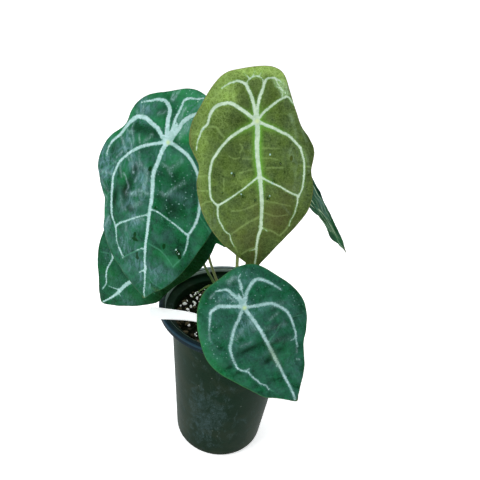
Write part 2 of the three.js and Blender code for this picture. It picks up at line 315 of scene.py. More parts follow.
def makeStreakGroup():  # wisps drawn out along the blade
    inputs = {"Place": None, "Size": 8}
    group, (place, size), go = shaderGroup("paintedStreaks", inputs, ["Value", "Lines"])
    scale = sums(group, "DIVIDE", 1.0, size)
    long = stretchPlace(group, place, (1.0, 0.45, 1.0))
    broad = noise(group, long, scale, 5, 1.6, 0.62)
    centred = sums(group, "SUBTRACT", noise(group, long, scale, 3, 2.2, 0.55), 0.5)
    lines = ramp(group, sums(group, "ABSOLUTE", centred), 0.05, 0.0)
    feed(group, go, {"Value": ramp(group, broad, 0.42, 0.68), "Lines": lines})
    return group


edgeGroup, mottleGroup, netGroup = makeEdgeGroup(), makeMottleGroup(), makeNetGroup()
speckGroup, streakGroup = makeSpeckGroup(), makeStreakGroup()


def mottle(tree, place, size, contrast):
    return useGroup(tree, mottleGroup, "Value", Place=place, Size=size, Contrast=contrast)


def specks(tree, place, spacing, radius, share):
    return useGroup(tree, speckGroup, "Mask", Place=place, Spacing=spacing, Radius=radius, Share=share)


def feathered(tree, edge, place, ragged, soft):
    return useGroup(tree, edgeGroup, "Mask", Edge=edge, Place=place, Ragged=ragged, Soft=soft)


def newMaterial(name):
    material = bpy.data.materials.new(name)
    material.use_nodes = True
    tree = material.node_tree
    return material, tree, tree.nodes["Principled BSDF"]


def solidMaterial(name):  # with the piece's own coordinates in millimetres
    material, tree, shader = newMaterial(name)
    own = put(tree, "ShaderNodeTexCoord").outputs["Object"]
    return material, tree, shader, stretchPlace(tree, own, (1000, 1000, 1000))


def column(tree, name, output="Fac"):
    return put(tree, "ShaderNodeAttribute", attribute_name=name).outputs[output]


def dress(tree, shader, colour, roughness, height, depth, strength, gloss=0.5):
    values = {"Height": height, "Distance": depth * mm, "Strength": strength}
    relief = put(tree, "ShaderNodeBump", values).outputs[0]
    feed(tree, shader, {"Base Color": colour, "Roughness": roughness, "Specular IOR Level": gloss,
                        "Normal": relief})


# Leaf materials

# The first of these patch rows is painted sheen: the sky's reflection on the velvet, painted into the
# colour.
spotRows = ("paintedSheen", "deep", "lush", "dotted", "glow", "brown", "pitsAndDropShadows")


def leafFace(name, look):
    material, tree, shader = newMaterial(name)
    place = column(tree, "place", "Vector")
    edge, faintEdge, rimGap, heartGap, paintedStreak = [
        column(tree, key) for key in ("vein", "faint", "rim", "heart", "paintedStreak")]
    paintedSheen, deep, lush, dotted, glow, brown, pitsAndDropShadows = [column(tree, key) for key in spotRows]
    vein = feathered(tree, edge, place, look["veinRagged"], look["veinSoft"])
    faint = feathered(tree, faintEdge, place, 1.3, look["faintSoft"])
    # Pits are dark spots on the blade, and beside the drops they are painted shadows under them.
    pitAndDropShadow = feathered(tree, scaled(tree, pitsAndDropShadows, -4.0, 2.0), place, 2.0, 0.4)
    net = useGroup(tree, netGroup, "Mask", Place=place, Size=look["netSize"], Width=look["netWidth"])
    broad = mottle(tree, place, 9.0, 4.2)
    grain = mottle(tree, place, 1.6, 3.4)
    patch = mottle(tree, place, 4.2, 3.6)
    # The mottle, wisps and lines below shape the painted sheen and the painted streaks; the stretched mottle
    # is a painted bluish haze of sheen over the whole blade.
    paintedHazeMask = mottle(tree, stretchPlace(tree, place, (-1.0, 0.8, 1.0)), 13.0, 4.0)
    wisps = useGroup(tree, streakGroup, "Value", Place=place, Size=look["wispSize"])
    fineWisps = useGroup(tree, streakGroup, "Value", Place=place, Size=1.9)
    sheenWeb = useGroup(tree, streakGroup, "Lines", Place=place, Size=4.6)

    lushPatch = times(tree, lush, scaled(tree, patch, -0.5, 1.15))
    ragged = scaled(tree, sheenWeb, look["sheenWeb"], scaled(tree, wisps, 0.75, 0.05))
    paintedHaze = times(tree, paintedHazeMask, look["paintedHaze"])
    sheen = scaled(tree, times(tree, paintedSheen, ragged), look["paintedSheenShare"], paintedHaze, clamp=True)
    netted = scaled(tree, lush, look["netLush"], look["netShare"])
    # The streaks are painted reflections: thin bright lines along fine folds, painted into the colour.
    wispy = times(tree, paintedStreak, scaled(tree, fineWisps, 0.75, 0.2))
    dots = times(tree, specks(tree, place, 2.5, 0.75, 0.55), dotted)
    rim = ramp(tree, rimGap, look["rimWidth"], 0.0)
    # The glow beside the veins is painted light, standing in for light shining through the thin blade.
    nearVein = sums(tree, "POWER", ramp(tree, edge, 7.0, 0.0), 2.0)
    glowing = times(tree, times(tree, glow, nearVein), look["glowShare"])
    lit = scaled(tree, ramp(tree, edge, look["haloReach"], 0.0), look["haloShare"], glowing, clamp=True)
    veinTone = layers(tree, blend(tree, patch, look["veinShade"], look["vein"]),
                      (brown, 0.8, look["veinOld"]))
    # The deep patches are partly the blade's darker green and partly painted shade in its folds and grooves.
    colour = layers(
        tree, blend(tree, broad, look["deep"], look["green"]),
        (patch, look["patch"], look["deepest"]), (grain, look["grain"], look["light"]),
        (lushPatch, look["lushShare"], look["lush"]), (sheen, 1.0, look["paintedSheen"]),
        (deep, look["deepShare"], look["deepest"]), (net, netted, look["net"]),
        (wispy, look["paintedStreakShare"], look["paintedStreak"]), (dots, 0.75, look["dot"]),
        (faint, look["faintShare"], look["faint"]), (rim, look["rimShare"], look["rim"]),
        (brown, 0.9, look["brown"]), (pitAndDropShadow, 0.9, look["pitAndDropShadow"]), (lit, 1.0, look["halo"]),
        (vein, look["veinShare"], veinTone), (ramp(tree, heartGap, 3.0, 0.4), 0.8, look["heart"]))

    rough = scaled(tree, vein, 0.1, scaled(tree, grain, 0.14, look["roughness"]))
    height = scaled(tree, vein, -0.8, scaled(tree, net, -0.4, grain))
    dress(tree, shader, colour, scaled(tree, sheen, -0.1, rough), height, 0.3, 0.7, look["gloss"])
    feed(tree, shader, {"Sheen Weight": look["velvet"], "Sheen Roughness": 0.4,
                        "Coat Weight": times(tree, sheen, look["glaze"]), "Coat Roughness": 0.35})
    return material


def leafBack(name, look):
    material, tree, shader = newMaterial(name)
    place = column(tree, "place", "Vector")
    vein = feathered(tree, column(tree, "vein"), place, 0.3, 0.5)
    net = useGroup(tree, netGroup, "Mask", Place=place, Size=look["netSize"], Width=0.5)
    grain = mottle(tree, place, 1.8, 2.0)
    colour = layers(
        tree, blend(tree, mottle(tree, place, 16.0, 2.0), look["backDeep"], look["back"]),
        (grain, 0.3, look["backLight"]), (net, 0.4, look["backLight"]), (vein, 0.85, look["backVein"]),
        (column(tree, "brown"), 0.9, look["brown"]))
    height = scaled(tree, net, 0.9, times(tree, grain, 0.4))
    dress(tree, shader, colour, scaled(tree, grain, 0.15, 0.5), height, 0.3, 0.7, 0.35)
    return material


def tone(red, green, blue):  # a colour given as it looks on screen, 0 to 255
    def linear(value):
        value /= 255
        return value / 12.92 if value <= 0.04045 else ((value + 0.055) / 1.055) ** 2.4
    return tuple(linear(value) for value in (red, green, blue))


darkLook = {
    "deep": tone(0, 44, 18), "green": tone(4, 96, 46), "light": tone(46, 126, 90), "grain": 0.3,
    "patch": 0.4, "deepest": tone(0, 28, 12), "deepShare": 1.0, "lush": tone(34, 136, 68),
    "lushShare": 0.75, "paintedSheen": tone(104, 146, 154), "paintedSheenShare": 0.95, "wispSize": 6.0,
    "sheenWeb": 0.3, "glaze": 0.2, "paintedHaze": 0.14, "paintedStreak": tone(166, 200, 202), "paintedStreakShare": 0.8,
    "net": tone(46, 124, 80), "netShare": 0.16, "netLush": 0.2, "netSize": 4.2, "netWidth": 0.45,
    "faint": tone(78, 150, 116), "faintShare": 0.6, "faintSoft": 0.6, "dot": tone(150, 196, 188),
    "rim": tone(56, 92, 48), "rimShare": 0.7, "rimWidth": 0.9, "brown": tone(88, 92, 46),
    "halo": tone(50, 124, 96), "haloShare": 0.5, "glowShare": 0.3, "haloReach": 1.5,
    "pitAndDropShadow": tone(0, 50, 8), "vein": tone(194, 224, 224), "veinShade": tone(158, 200, 192),
    "veinShare": 0.96, "veinRagged": 2.2, "veinSoft": 0.4, "veinOld": tone(138, 160, 112),
    "heart": tone(204, 228, 156), "roughness": 0.42, "gloss": 0.03, "velvet": 0.01,
    "back": tone(74, 128, 84), "backDeep": tone(58, 108, 70), "backLight": tone(112, 160, 112),
    "backVein": tone(156, 190, 140),
}

oliveLook = {
    **darkLook, "deep": tone(34, 54, 10), "green": tone(76, 100, 34), "light": tone(124, 150, 82),
    "grain": 0.34, "patch": 0.36, "deepest": tone(34, 50, 12), "deepShare": 0.85, "paintedHaze": 0.12,
    "lush": tone(138, 172, 74), "lushShare": 0.85, "paintedSheen": tone(112, 136, 104),
    "paintedSheenShare": 0.7, "sheenWeb": 0.4, "glaze": 0.1, "paintedStreak": tone(172, 206, 158),
    "paintedStreakShare": 0.9, "net": tone(178, 210, 120), "netShare": 0.12, "netLush": 0.7,
    "netSize": 4.4, "netWidth": 0.4, "faint": tone(164, 196, 116), "faintShare": 0.55,
    "faintSoft": 1.3, "dot": tone(170, 196, 140), "rim": tone(128, 116, 72), "rimShare": 0.6,
    "rimWidth": 1.0, "brown": tone(116, 106, 66), "halo": tone(112, 174, 62), "haloShare": 0.25,
    "glowShare": 0.65, "haloReach": 1.6, "pitAndDropShadow": tone(64, 76, 18), "vein": tone(212, 232, 208),
    "veinShade": tone(186, 212, 182), "veinRagged": 1.3, "veinOld": tone(170, 184, 130),
    "heart": tone(214, 232, 168), "back": tone(122, 146, 74), "backDeep": tone(104, 130, 62),
    "backLight": tone(158, 178, 110), "backVein": tone(186, 204, 146),
}

leafLooks = {
    "left": darkLook,
    "centre": oliveLook,
    "low": {**darkLook, "deep": tone(0, 36, 16), "green": tone(8, 78, 40), "lush": tone(20, 126, 36),
            "paintedSheenShare": 0.8, "deepest": tone(2, 42, 0), "paintedHaze": 0.06},
    "front": {**darkLook, "deep": tone(0, 46, 26), "green": tone(12, 90, 52), "paintedSheenShare": 0.75,
              "paintedSheen": tone(104, 150, 156), "vein": tone(184, 218, 218),
              "veinShade": tone(140, 184, 178), "veinSoft": 0.6, "halo": tone(70, 126, 112),
              "haloShare": 0.45, "haloReach": 2.0, "patch": 0.5, "rim": tone(66, 120, 60),
              "rimShare": 0.55, "rimWidth": 1.4},
    "right": {**darkLook, "deep": tone(12, 48, 20), "green": tone(40, 90, 48),
              "light": tone(118, 154, 122), "paintedSheen": tone(106, 146, 144),
              "paintedStreak": tone(172, 198, 156), "veinShare": 0.9, "vein": tone(204, 222, 188),
              "veinShade": tone(160, 186, 144), "gloss": 0.0, "velvet": 0.0, "glaze": 0.0},
}


# Leaves: each blade hangs, bends and is cut as its solid is. What is drawn on it is in millimetres
# right of and above the joint. A vein has its widths from start to end and its route, a faint one a
# width and a route, a streak (a painted reflection along a fine fold) a width, a strength and a
# route, and a fold its two ends, a height and a width. The glow, brown, pit, curl, sheen, deep, lush
# and dotted patches are as in spots. The sheen patches are painted sheen, the sky's reflection on
# the velvet; the glow is painted light shining through the blade; the deep patches are the darker
# green and painted shade in the folds; the pits are dark spots and painted shadows under the drops.

leaves = {
    "left": {
        "joint": (-76, -25, 368), "faces": -18, "tips": 16, "roll": -4,
        "bendDown": 0.0018, "bendUp": 0.006, "cup": 0.003, "wave": (1.6, 5, 0.6),
        "middle": (-3, -54), "across": 84, "along": 134,
        "outline": [(3, -158), (-1, -154), (-13, -147), (-27, -136), (-42, -124), (-54, -105), (-56, -88),
            (-58, -71), (-66, -55), (-71, -38), (-68, -21), (-61, -9), (-50, 3), (-46, 16), (-41, 26),
            (-31, 35), (-17, 41), (0, 48), (14, 49), (28, 43), (40, 29), (48, 13), (55, -4), (60, -22),
            (61, -42), (58, -66), (50, -90), (43, -107), (35, -122), (24, -137), (12, -148)],
        "veins": [
            ((4.4, 3.1, 1.2), [(0, 0), (-3, -7), (-5, -16), (-7, -30), (-5, -45), (-4, -67), (-3, -85),
                (-2, -105), (1, -126), (3, -150), (4, -156)]),
            ((3.0, 2.4, 2.2, 0.5), [(0, 0), (-5, -2), (-17, -7), (-26, -12), (-34, -18), (-40, -24),
                (-45, -31), (-48, -39), (-50, -47), (-50, -56), (-49, -70), (-46, -85), (-40, -95),
                (-38, -101), (-36, -109), (-32, -116), (-27, -124)]),
            ((3.8, 4.0, 1.0), [(0, 0), (-7, 3), (-13, 8), (-20, 11), (-27, 14), (-32, 14), (-37, 13),
                (-41, 10), (-45, 6), (-48, 1), (-52, -7), (-59, -16), (-62, -23), (-62, -30)]),
            ((5.0, 3.4, 1.2), [(0, 0), (-4, 10), (-6, 18), (-7, 25), (-10, 30), (-14, 33), (-18, 33),
                (-23, 32), (-27, 30), (-33, 28), (-37, 26)]),
            ((3.2, 2.4, 1.2), [(0, 0), (1, 14), (1, 21), (2, 27), (3, 34), (3, 38), (8, 41), (15, 42),
                (20, 44)]),
            ((3.4, 3.8, 3.2), [(0, 0), (5, 10), (7, 14), (9, 20), (12, 24), (15, 27), (21, 31), (26, 33)]),
            ((3.2, 3.0, 2.4, 0.8), [(0, 0), (6, -1), (12, -3), (19, -5), (24, -8), (28, -12), (32, -17),
                (35, -22), (39, -33), (42, -46), (43, -52), (43, -58), (42, -65), (40, -71), (38.4, -76),
                (39, -84), (38.6, -90), (37, -97)]),
            ((1.3, 1.4, 1.8), [(-5, -70), (-17, -77), (-26, -83), (-35, -89), (-40, -94)]),
            ((1.0, 1.0, 2.0), [(-3, -64), (5, -64), (12, -66), (20, -69), (28, -72), (38, -76)]),
            ((1.6, 0.9, 0.4), [(-2, -104), (-7, -106), (-12, -110)]),
            ((2.2, 1.3, 0.4), [(1, -126), (-2, -128), (-5, -131)]),
            ((1.6, 0.5), [(1, -122), (3, -124)]),
            ((1.2, 0.7, 0.3), [(-33, -115), (-28, -120), (-25, -122)]),
            ((6.5, 5.0, 2.0), [(1, 2), (3, 10), (4, 17)])],
        "faint": [(1.3, [(-7, -106), (-14, -112), (-20, -117), (-26, -123)]),
            (1.2, [(1, -97.5), (10, -98.5), (18, -101), (25, -106), (30, -111)]),
            (1.4, [(30, -111), (34, -104), (37, -97)]), (0.9, [(-42, -26), (-56, -38), (-66, -50)]),
            (0.9, [(36, -24), (48, -34), (58, -44)]), (0.8, [(-49, -60), (-58, -70), (-60, -72)]),
            (0.8, [(4, -132), (14, -136), (22, -138)]), (0.8, [(43, -54), (52, -62), (58, -68)])],
        "paintedStreaks": [(0.9, 0.8, [(-39, 0), (-36, -5), (-34, -11)]),
            (1.1, 0.9, [(-51, -8), (-46, -13), (-41, -20), (-35, -27)]),
            (0.9, 1.0, [(-40, -8), (-36, -14), (-34, -22), (-30, -31), (-28, -37)]),
            (1.6, 0.7, [(-33, 23), (-33, 16)]), (1.4, 0.5, [(-40, 18), (-35, 14)]),
            (1.4, 0.7, [(-9, 42), (-9, 36)]), (1.2, 0.8, [(-4, 47), (-7, 36)]),
            (1.8, 0.5, [(-23, -6), (-18, 1)]), (1.3, 0.5, [(-26, -17), (-22, -27)]),
            (1.8, 0.6, [(-15, 21), (-11, 24)]), (1.2, 0.6, [(-49, -28), (-45, -21)]),
            (0.9, 0.9, [(-38, -40), (-33, -47), (-31, -51), (-32, -56)]),
            (2.4, 0.6, [(-22, -27), (-15, -31), (-12, -38), (-14, -47)]),
            (1.7, 0.75, [(-26, -56), (-18, -50.5), (-9, -51)]), (1.5, 0.6, [(-65, -46), (-52, -45)]),
            (1.8, 0.5, [(-1, -20), (5, -22), (9, -26)]),
            (2.0, 0.45, [(4, -46), (10, -46), (16, -38), (24, -30)]), (1.4, 0.5, [(-65, -53), (-54, -63)]),
            (1.2, 0.5, [(-53, -32), (-46, -34)]), (2.0, 0.45, [(9, 5), (13, 12), (15, 16)]),
            (2.6, 0.35, [(9, -22), (17, -12)]), (2.0, 0.45, [(-32, -58), (-26, -57), (-15, -54)]),
            (1.8, 0.4, [(-38, -63), (-35, -70), (-30, -74)]), (2.2, 0.8, [(7, 31), (6, 26), (5, 20)]),
            (2.4, 0.6, [(13, 22), (12, 15), (9, 9)]), (2.4, 0.5, [(-23, -68), (-14, -61)]),
            (1.6, 0.5, [(-28, -86), (-26, -93)]), (2.6, 0.6, [(-21, -80), (-10, -76)]),
            (1.8, 0.7, [(-53, -98), (-49, -88)]), (1.0, 0.7, [(-46, 9), (-40, 6), (-41, -1)]),
            (0.9, 0.6, [(-47, 0), (-40, -3), (-37, 0)]), (1.2, 0.6, [(-27, -27), (-23, -35), (-25, -44)]),
            (1.1, 0.7, [(-60, -65), (-55, -71), (-55, -78)]), (1.4, 0.5, [(-44, -34), (-40, -44)]),
            (1.0, 0.6, [(-30, -2), (-27, -9)])],
        "glow": [],
        "brown": [(4, -157, 3, 2, 0.9), (20, -142, 8, 2, 0.3)],
        "pitsAndDropShadows": [(-11.5, -28, 1.8, 2.6, 1.2), (-15, -94, 1.7, 3.4, 1.2), (-14.5, -98.6, 3.8, 1.6, 1.2),
            (-9, -116, 2.2, 2.2, 1.2), (-10, -112, 1.2, 2.0, 1.1), (17.6, -94, 1.9, 3.0, 1.2),
            (32.2, -95.4, 2.6, 3.4, 1.3), (34.6, -99.6, 1.6, 2.6, 1.1), (1.4, -61.5, 1.6, 2.4, 1.0)],
        "curls": [],
        "paintedSheen": [(-43, -14, 7, 15, 1.0), (-33, -26, 6, 14, 0.9), (-54, -40, 8, 14, 1.0),
            (-62, -34, 6, 20, 0.9), (-16, -42, 8, 14, 1.2), (-27, -70, 11, 9, 1.1), (-18, -82, 9, 6, 1.0),
            (-24, -58, 10, 6, 0.9), (-50, -92, 6, 16, 0.8), (-8, -124, 18, 14, 0.65),
            (14, -124, 16, 12, 0.45), (-24, -104, 12, 12, 0.6), (-30, 10, 10, 4, 0.6),
            (-29, 25, 12, 8, 0.7), (-36, 20, 6, 8, 0.7), (16, -6, 8, 8, 0.4), (28, -46, 7, 8, 0.3),
            (14, -44, 12, 5, 0.5), (22, 44, 10, 4, 0.5), (8, -84, 16, 10, 0.15), (-66, -48, 7, 22, 0.8),
            (-4, -13, 14, 5, 0.6), (6, -140, 12, 8, 0.6), (-34, -112, 8, 8, 0.5), (26, -118, 8, 10, 0.2),
            (13, 17, 6, 7, 0.8), (10, 32, 7, 7, 0.5), (16, 37, 6, 5, 0.7)],
        "deep": [(12, -28, 14, 10, 0.6), (16, -52, 14, 12, 0.5), (-18, 4, 12, 5, 0.6),
            (-30, -46, 5, 8, 0.6), (-33, -62, 6, 10, 0.5), (38, 6, 10, 14, 0.3), (-18, -12, 10, 6, 0.5),
            (-38, 4, 8, 5, 0.5), (-45, -66, 3, 14, 0.9), (-8, 30, 8, 6, 0.3), (-56, -22, 4, 8, 0.5),
            (24, -92, 14, 11, 0.4), (-27, -32, 4, 6, 0.8), (30, -34, 8, 14, 0.4), (38, -112, 8, 12, 0.5),
            (-34, -55, 5, 7, 0.7), (-24, -71, 6, 4, 0.7), (20, -58, 10, 8, 0.35), (8, -110, 10, 8, 0.3)],
        "lush": [(-50, 2, 9, 10, 0.8), (-60, -12, 6, 12, 0.7), (-31, 34, 14, 7, 0.7),
            (-58, -88, 5, 14, 0.7), (-47, 15, 7, 9, 0.9), (4, 45, 26, 7, 1.0), (18, -104, 12, 5, 0.5),
            (22, -20, 12, 10, 0.5), (-20, -98, 8, 5, 0.25), (28, -108, 6, 4, 0.6), (18, 22, 12, 12, 1.2),
            (12, 8, 8, 6, 0.8), (26, 40, 12, 5, 0.8), (10, 33, 10, 7, 0.9), (33, -105, 3, 6, 0.9),
            (-12, 14, 9, 7, 0.7), (-26, -6, 9, 6, 0.5), (8, -12, 10, 6, 0.7), (24, 38, 12, 9, 0.6),
            (-36, -40, 5, 10, 0.6), (32, -64, 10, 12, 0.2), (50, -76, 5, 16, 0.4)],
        "dotted": [(14, -36, 22, 26, 0.8), (16, 26, 16, 18, 1.3), (26, -56, 14, 16, 0.6),
            (0, 44, 20, 6, 0.5)],
        "folds": [((-48, -30), (-66, -44), 0.7, 4), ((-20, -20), (-36, -52), 0.5, 5),
            ((8, -20), (30, -60), -0.6, 7), ((-14, -74), (-34, -92), 0.5, 5),
            ((10, -78), (28, -94), 0.5, 6), ((-24, 18), (-40, 0), 0.6, 6)],
    },
    "centre": {
        "joint": (-1, -45, 401), "faces": 4, "tips": 12, "roll": 5,
        "bendDown": 0.0014, "bendUp": 0.005, "cup": 0.002, "wave": (1.0, 4, 2.1),
        "middle": (0, -44), "across": 80, "along": 130,
        "outline": [(2, -132), (-5, -125), (-15, -117), (-27, -106), (-38, -91), (-46, -73), (-49, -54),
            (-47, -39), (-52, -27), (-55, -18), (-53, -4), (-45, 11), (-36, 26), (-26, 36), (-12, 40),
            (3, 42), (14, 41), (21, 36), (26, 24), (31, 10), (37, -4), (44, -13), (49, -24), (48, -40),
            (51, -57), (48, -75), (37, -91), (25, -105), (12, -121)],
        "veins": [
            ((3.9, 3.4, 1.3), [(0, 0), (1, -8), (1, -20), (2, -32), (4, -44), (6, -59), (7, -71), (7, -84),
                (7, -92), (5, -100), (4, -109), (4, -117), (3, -128)]),
            ((2.4, 2.1, 1.9, 1.4, 0.6), [(0, 0), (-5, -4), (-11, -7), (-17, -11), (-21, -14), (-26, -19),
                (-30, -24), (-33, -29), (-36, -34), (-38, -45), (-38, -52), (-37, -64), (-34, -69),
                (-31, -72), (-31, -77), (-30, -84), (-27, -90), (-24, -95), (-20, -98), (-19, -103),
                (-16, -109)]),
            ((2.9, 2.6, 0.7), [(0, 0), (-5, 3), (-9, 6), (-14, 9), (-19, 12), (-23, 13), (-29, 12),
                (-33, 10), (-36, 7), (-38, 3), (-39, -1), (-40, -4), (-44, -8), (-46, -13), (-48, -18),
                (-49, -25)]),
            ((2.4, 2.7, 0.6), [(0, 0), (-2, 8), (-3, 13), (-5, 19), (-7, 23), (-9, 27), (-12, 29),
                (-16, 30), (-20, 29), (-23, 28), (-26, 26), (-29, 24)]),
            ((2.2, 2.5, 0.6), [(0, 0), (0.4, 10), (1, 14), (2, 19), (4, 24), (5, 28), (7, 32), (10, 33),
                (13, 33), (16, 32), (19, 30)]),
            ((1.8, 1.9, 0.9), [(0, 0), (3, 3), (6, 7), (11, 11), (16, 15), (21, 18), (24, 19), (26, 18),
                (28, 15), (30, 13)]),
            ((2.6, 2.2, 1.5, 1.4, 0.6), [(0, 0), (4, -2), (9, -4), (15, -6), (21, -9), (26, -11), (31, -15),
                (34, -18), (37, -21), (39, -26), (41, -32), (42, -42), (42, -51), (41, -57), (38, -63),
                (38, -67), (37, -73), (36, -78), (33, -84), (32, -89)]),
            ((1.6, 1.3, 1.7), [(4, -45), (-4, -52), (-10, -57), (-18, -63), (-25, -68), (-31, -72)]),
            ((1.6, 1.3, 1.7), [(5, -46), (15, -51), (22, -54), (29, -58), (38, -62)]),
            ((0.9, 0.6, 0.3), [(6, -90), (10, -92), (13, -94)]),
            ((0.5, 0.7, 0.5), [(-8.5, 29), (-7.5, 31.2), (-4.2, 33.6), (0, 34), (3.3, 32), (4.5, 29)]),
            ((0.5, 0.2), [(-4, 34), (-2.4, 38)]),
            ((0.5, 0.2), [(0.5, 33.6), (3, 37.5)]),
            ((0.5, 0.2), [(-6.5, 32), (-11, 36)]),
            ((0.7, 0.5, 0.4), [(14.3, 32), (17, 27.5), (20, 23.4), (20, 19.5)]),
            ((0.5, 0.4), [(14.4, 27), (17.4, 25.4), (23, 21.5)]),
            ((0.9, 0.6, 0.3), [(4, -111), (1, -112), (-2, -113)]),
            ((2.4, 1.6, 0.6), [(0, 2), (0, 6), (-0.2, 10)])],
        "faint": [(1.1, [(5, -81), (-7, -88), (-18, -97)]), (0.7, [(9, -91), (17, -94), (24, -98)]),
            (0.8, [(24, -98), (29, -93), (32, -88)]), (0.8, [(2, -110), (-3, -112), (-9, -116)]),
            (0.9, [(-24, 26), (-29, 23), (-33, 19), (-37, 15)]),
            (1.0, [(-39, -6), (-33, -6), (-30, -10), (-26, -14)]),
            (0.3, [(-13, -19), (-11, -22), (-13, -26)]), (0.3, [(-22, -29), (-17, -31), (-13, -30)]),
            (0.4, [(5, -22), (12, -22), (19, -22)]), (0.4, [(5, -30), (12, -30), (18, -31)]),
            (0.3, [(-11, -31), (-2, -31)]), (0.4, [(10, -38), (17, -38), (24, -38)]),
            (0.4, [(-13, -43), (-7, -41), (0, -39)]), (0.2, [(-26, -48), (-26, -53), (-26, -59)]),
            (0.9, [(-49, -47), (-39, -46)]), (0.7, [(-48, -59), (-39, -59)]),
            (0.8, [(-46, -72), (-41, -69), (-36, -68)]), (0.5, [(-19, -76), (-10, -75), (3, -69)]),
            (0.7, [(-16, -108), (-13, -114)]), (0.2, [(7, -66), (18, -68), (32, -71)]),
            (0.2, [(9, -77), (19, -80), (30, -79)]), (0.7, [(-9, 28), (-9, 23)]),
            (0.8, [(-35, 6), (-41, 1), (-44, -7)]), (0.9, [(12, 33), (17, 28), (21, 21)]),
            (0.7, [(13, 33), (14, 40)]), (0.7, [(-22, 29), (-26, 34)]), (0.6, [(38, -36), (49, -37)]),
            (0.6, [(-46, -12), (-53, -12)]), (0.6, [(-29, 13), (-34, 22)]),
            (0.6, [(-17, 12), (-20, 20), (-19, 28)])],
        "paintedStreaks": [(1.5, 1.0, [(13, 32), (17, 28), (20, 21), (22, 20)]),
            (1.6, 1.0, [(18, 30), (21, 26), (23, 21)]), (2.6, 0.8, [(20, 29), (24, 22)]),
            (1.4, 0.8, [(14, 31), (15, 27), (18, 26)]), (1.4, 0.35, [(27, 5), (31, -4), (33, -12)]),
            (1.2, 0.4, [(35, 1), (38, -8), (42, -16)]), (1.2, 0.35, [(39, -23), (44, -31), (46, -41)]),
            (1.8, 0.35, [(29, -23), (31, -31)]), (1.4, 0.3, [(33, -38), (35, -48), (34, -57)]),
            (1.0, 0.3, [(25, -70), (32, -78)]), (1.4, 0.3, [(-36, -30), (-31, -26)])],
        "glow": [(1, -12, 10, 16, 1.0), (4, -34, 9, 14, 0.9), (5, -52, 7, 12, 0.5), (-1, 6, 8, 8, 0.4),
            (-16, -10, 14, 6, 0.3), (16, -6, 14, 6, 0.3)],
        "brown": [(-55, -16, 2, 12, 0.5), (3, -131, 3, 4, 0.6), (-46, -78, 2, 20, 0.3),
            (-10, -100, 16, 14, 0.2), (20, -84, 16, 14, 0.3), (6, -72, 18, 10, 0.12),
            (30, -60, 10, 12, 0.15), (3, -116, 5, 14, 0.3)],
        "pitsAndDropShadows": [(-17.7, -44.8, 1.4, 1.7, 1.0), (21.1, -34.7, 1.2, 1.7, 1.0), (16.1, -49.5, 1.2, 1.7, 1.0),
            (12.2, -64.6, 1.7, 1.5, 1.0), (-9.7, -63, 1.5, 1.5, 1.0), (1, -66.5, 1.3, 1.4, 1.0),
            (-26.8, -60.4, 1.0, 1.4, 1.0), (30, -30, 1.4, 3.0, 1.0)],
        "curls": [],
        "paintedSheen": [(36, -28, 8, 14, 0.6), (30, 6, 7, 14, 0.5), (-4, -26, 9, 8, 0.5), (42, -44, 8, 20, 0.4),
            (-20, -6, 7, 6, 0.35), (22, 24, 4, 8, 0.7), (34, -62, 8, 8, 0.4), (-36, -84, 8, 16, 0.5),
            (-30, -100, 8, 8, 0.4)],
        "deep": [(-3, 20, 4, 9, 0.4), (-12, 16, 5, 9, 0.6), (12, 20, 5, 8, 0.35), (-18, 0, 11, 6, 1.0),
            (-18, -20, 8, 9, 0.4), (20, 10, 9, 8, 0.15), (46, -36, 4, 18, 0.8), (41, -12, 6, 8, 0.7),
            (-34, -4, 8, 7, 0.4), (30, -82, 12, 14, 0.9), (14, -96, 12, 10, 0.5), (8, -112, 16, 10, 0.6),
            (22, -74, 10, 8, 0.3), (28, -62, 3, 4, 0.6), (34, 2, 4, 6, 0.5), (0, -110, 14, 12, 0.35),
            (-20, -30, 12, 12, 0.25), (4, -124, 8, 6, 0.5)],
        "lush": [(-22, 37, 18, 8, 0.5), (0, 40, 18, 4.5, 1.3), (16, 38, 8, 5, 1.0), (-2, 35, 6, 2, 0.3),
            (-46, -12, 7, 18, 0.4), (-45, -44, 5, 26, 0.3), (-38, 14, 10, 9, 0.6), (-22, 18, 8, 6, 0.6),
            (-42, -80, 7, 16, 0.1), (-28, 0, 8, 6, 0.35), (-10, -50, 6, 5, 0.35), (-30, 26, 10, 8, 0.55),
            (22, 30, 8, 6, 0.5)],
        "dotted": [(-26, -2, 14, 14, 0.25)],
        "folds": [((36, -10), (50, -34), 1.1, 3.6), ((40, -46), (50, -66), -0.9, 5),
            ((38, 2), (46, -12), -0.9, 3), ((-8, -20), (-30, -40), 0.5, 7), ((12, -26), (34, -44), -0.5, 7),
            ((-16, 2), (-34, 4), -0.7, 6), ((10, 4), (26, 4), -0.8, 6), ((22, 32), (32, 8), 0.7, 4)],
    },
    "low": {
        "joint": (-73, -2, 296), "faces": -10, "tips": 13, "roll": -20,
        "bendDown": 0.0015, "bendUp": 0.005, "cup": 0.0035, "wave": (1.2, 5, 4.0),
        "middle": (0, -5), "across": 66, "along": 100,
        "outline": [(-26, -148), (-33, -138), (-41, -120), (-49, -103), (-55, -85), (-57, -66), (-58, -44),
            (-56, -18), (-50, 6), (-40, 27), (-26, 41), (-8, 46), (10, 45), (28, 40), (44, 25), (53, 10),
            (59, 0), (64, -8), (65.5, -10.8), (61, -11.0), (57, -11.1), (55.4, -12.6), (56.5, -26),
            (55, -42), (49, -59), (40, -77), (35, -92), (31, -106), (19, -119), (3, -132), (-14, -143)],
        "veins": [
            ((4.0, 3.8, 4.0, 4.4, 3.8, 0.9), [(0, 0), (1, -20), (2, -44), (1, -66), (-1, -84), (-5, -100),
                (-9, -109), (-13, -122), (-17, -132), (-22, -141), (-25, -146)]),
            ((2.8, 2.4, 1.0), [(0, 0), (-14, -4), (-28, -14), (-38, -30), (-42, -48), (-41, -66),
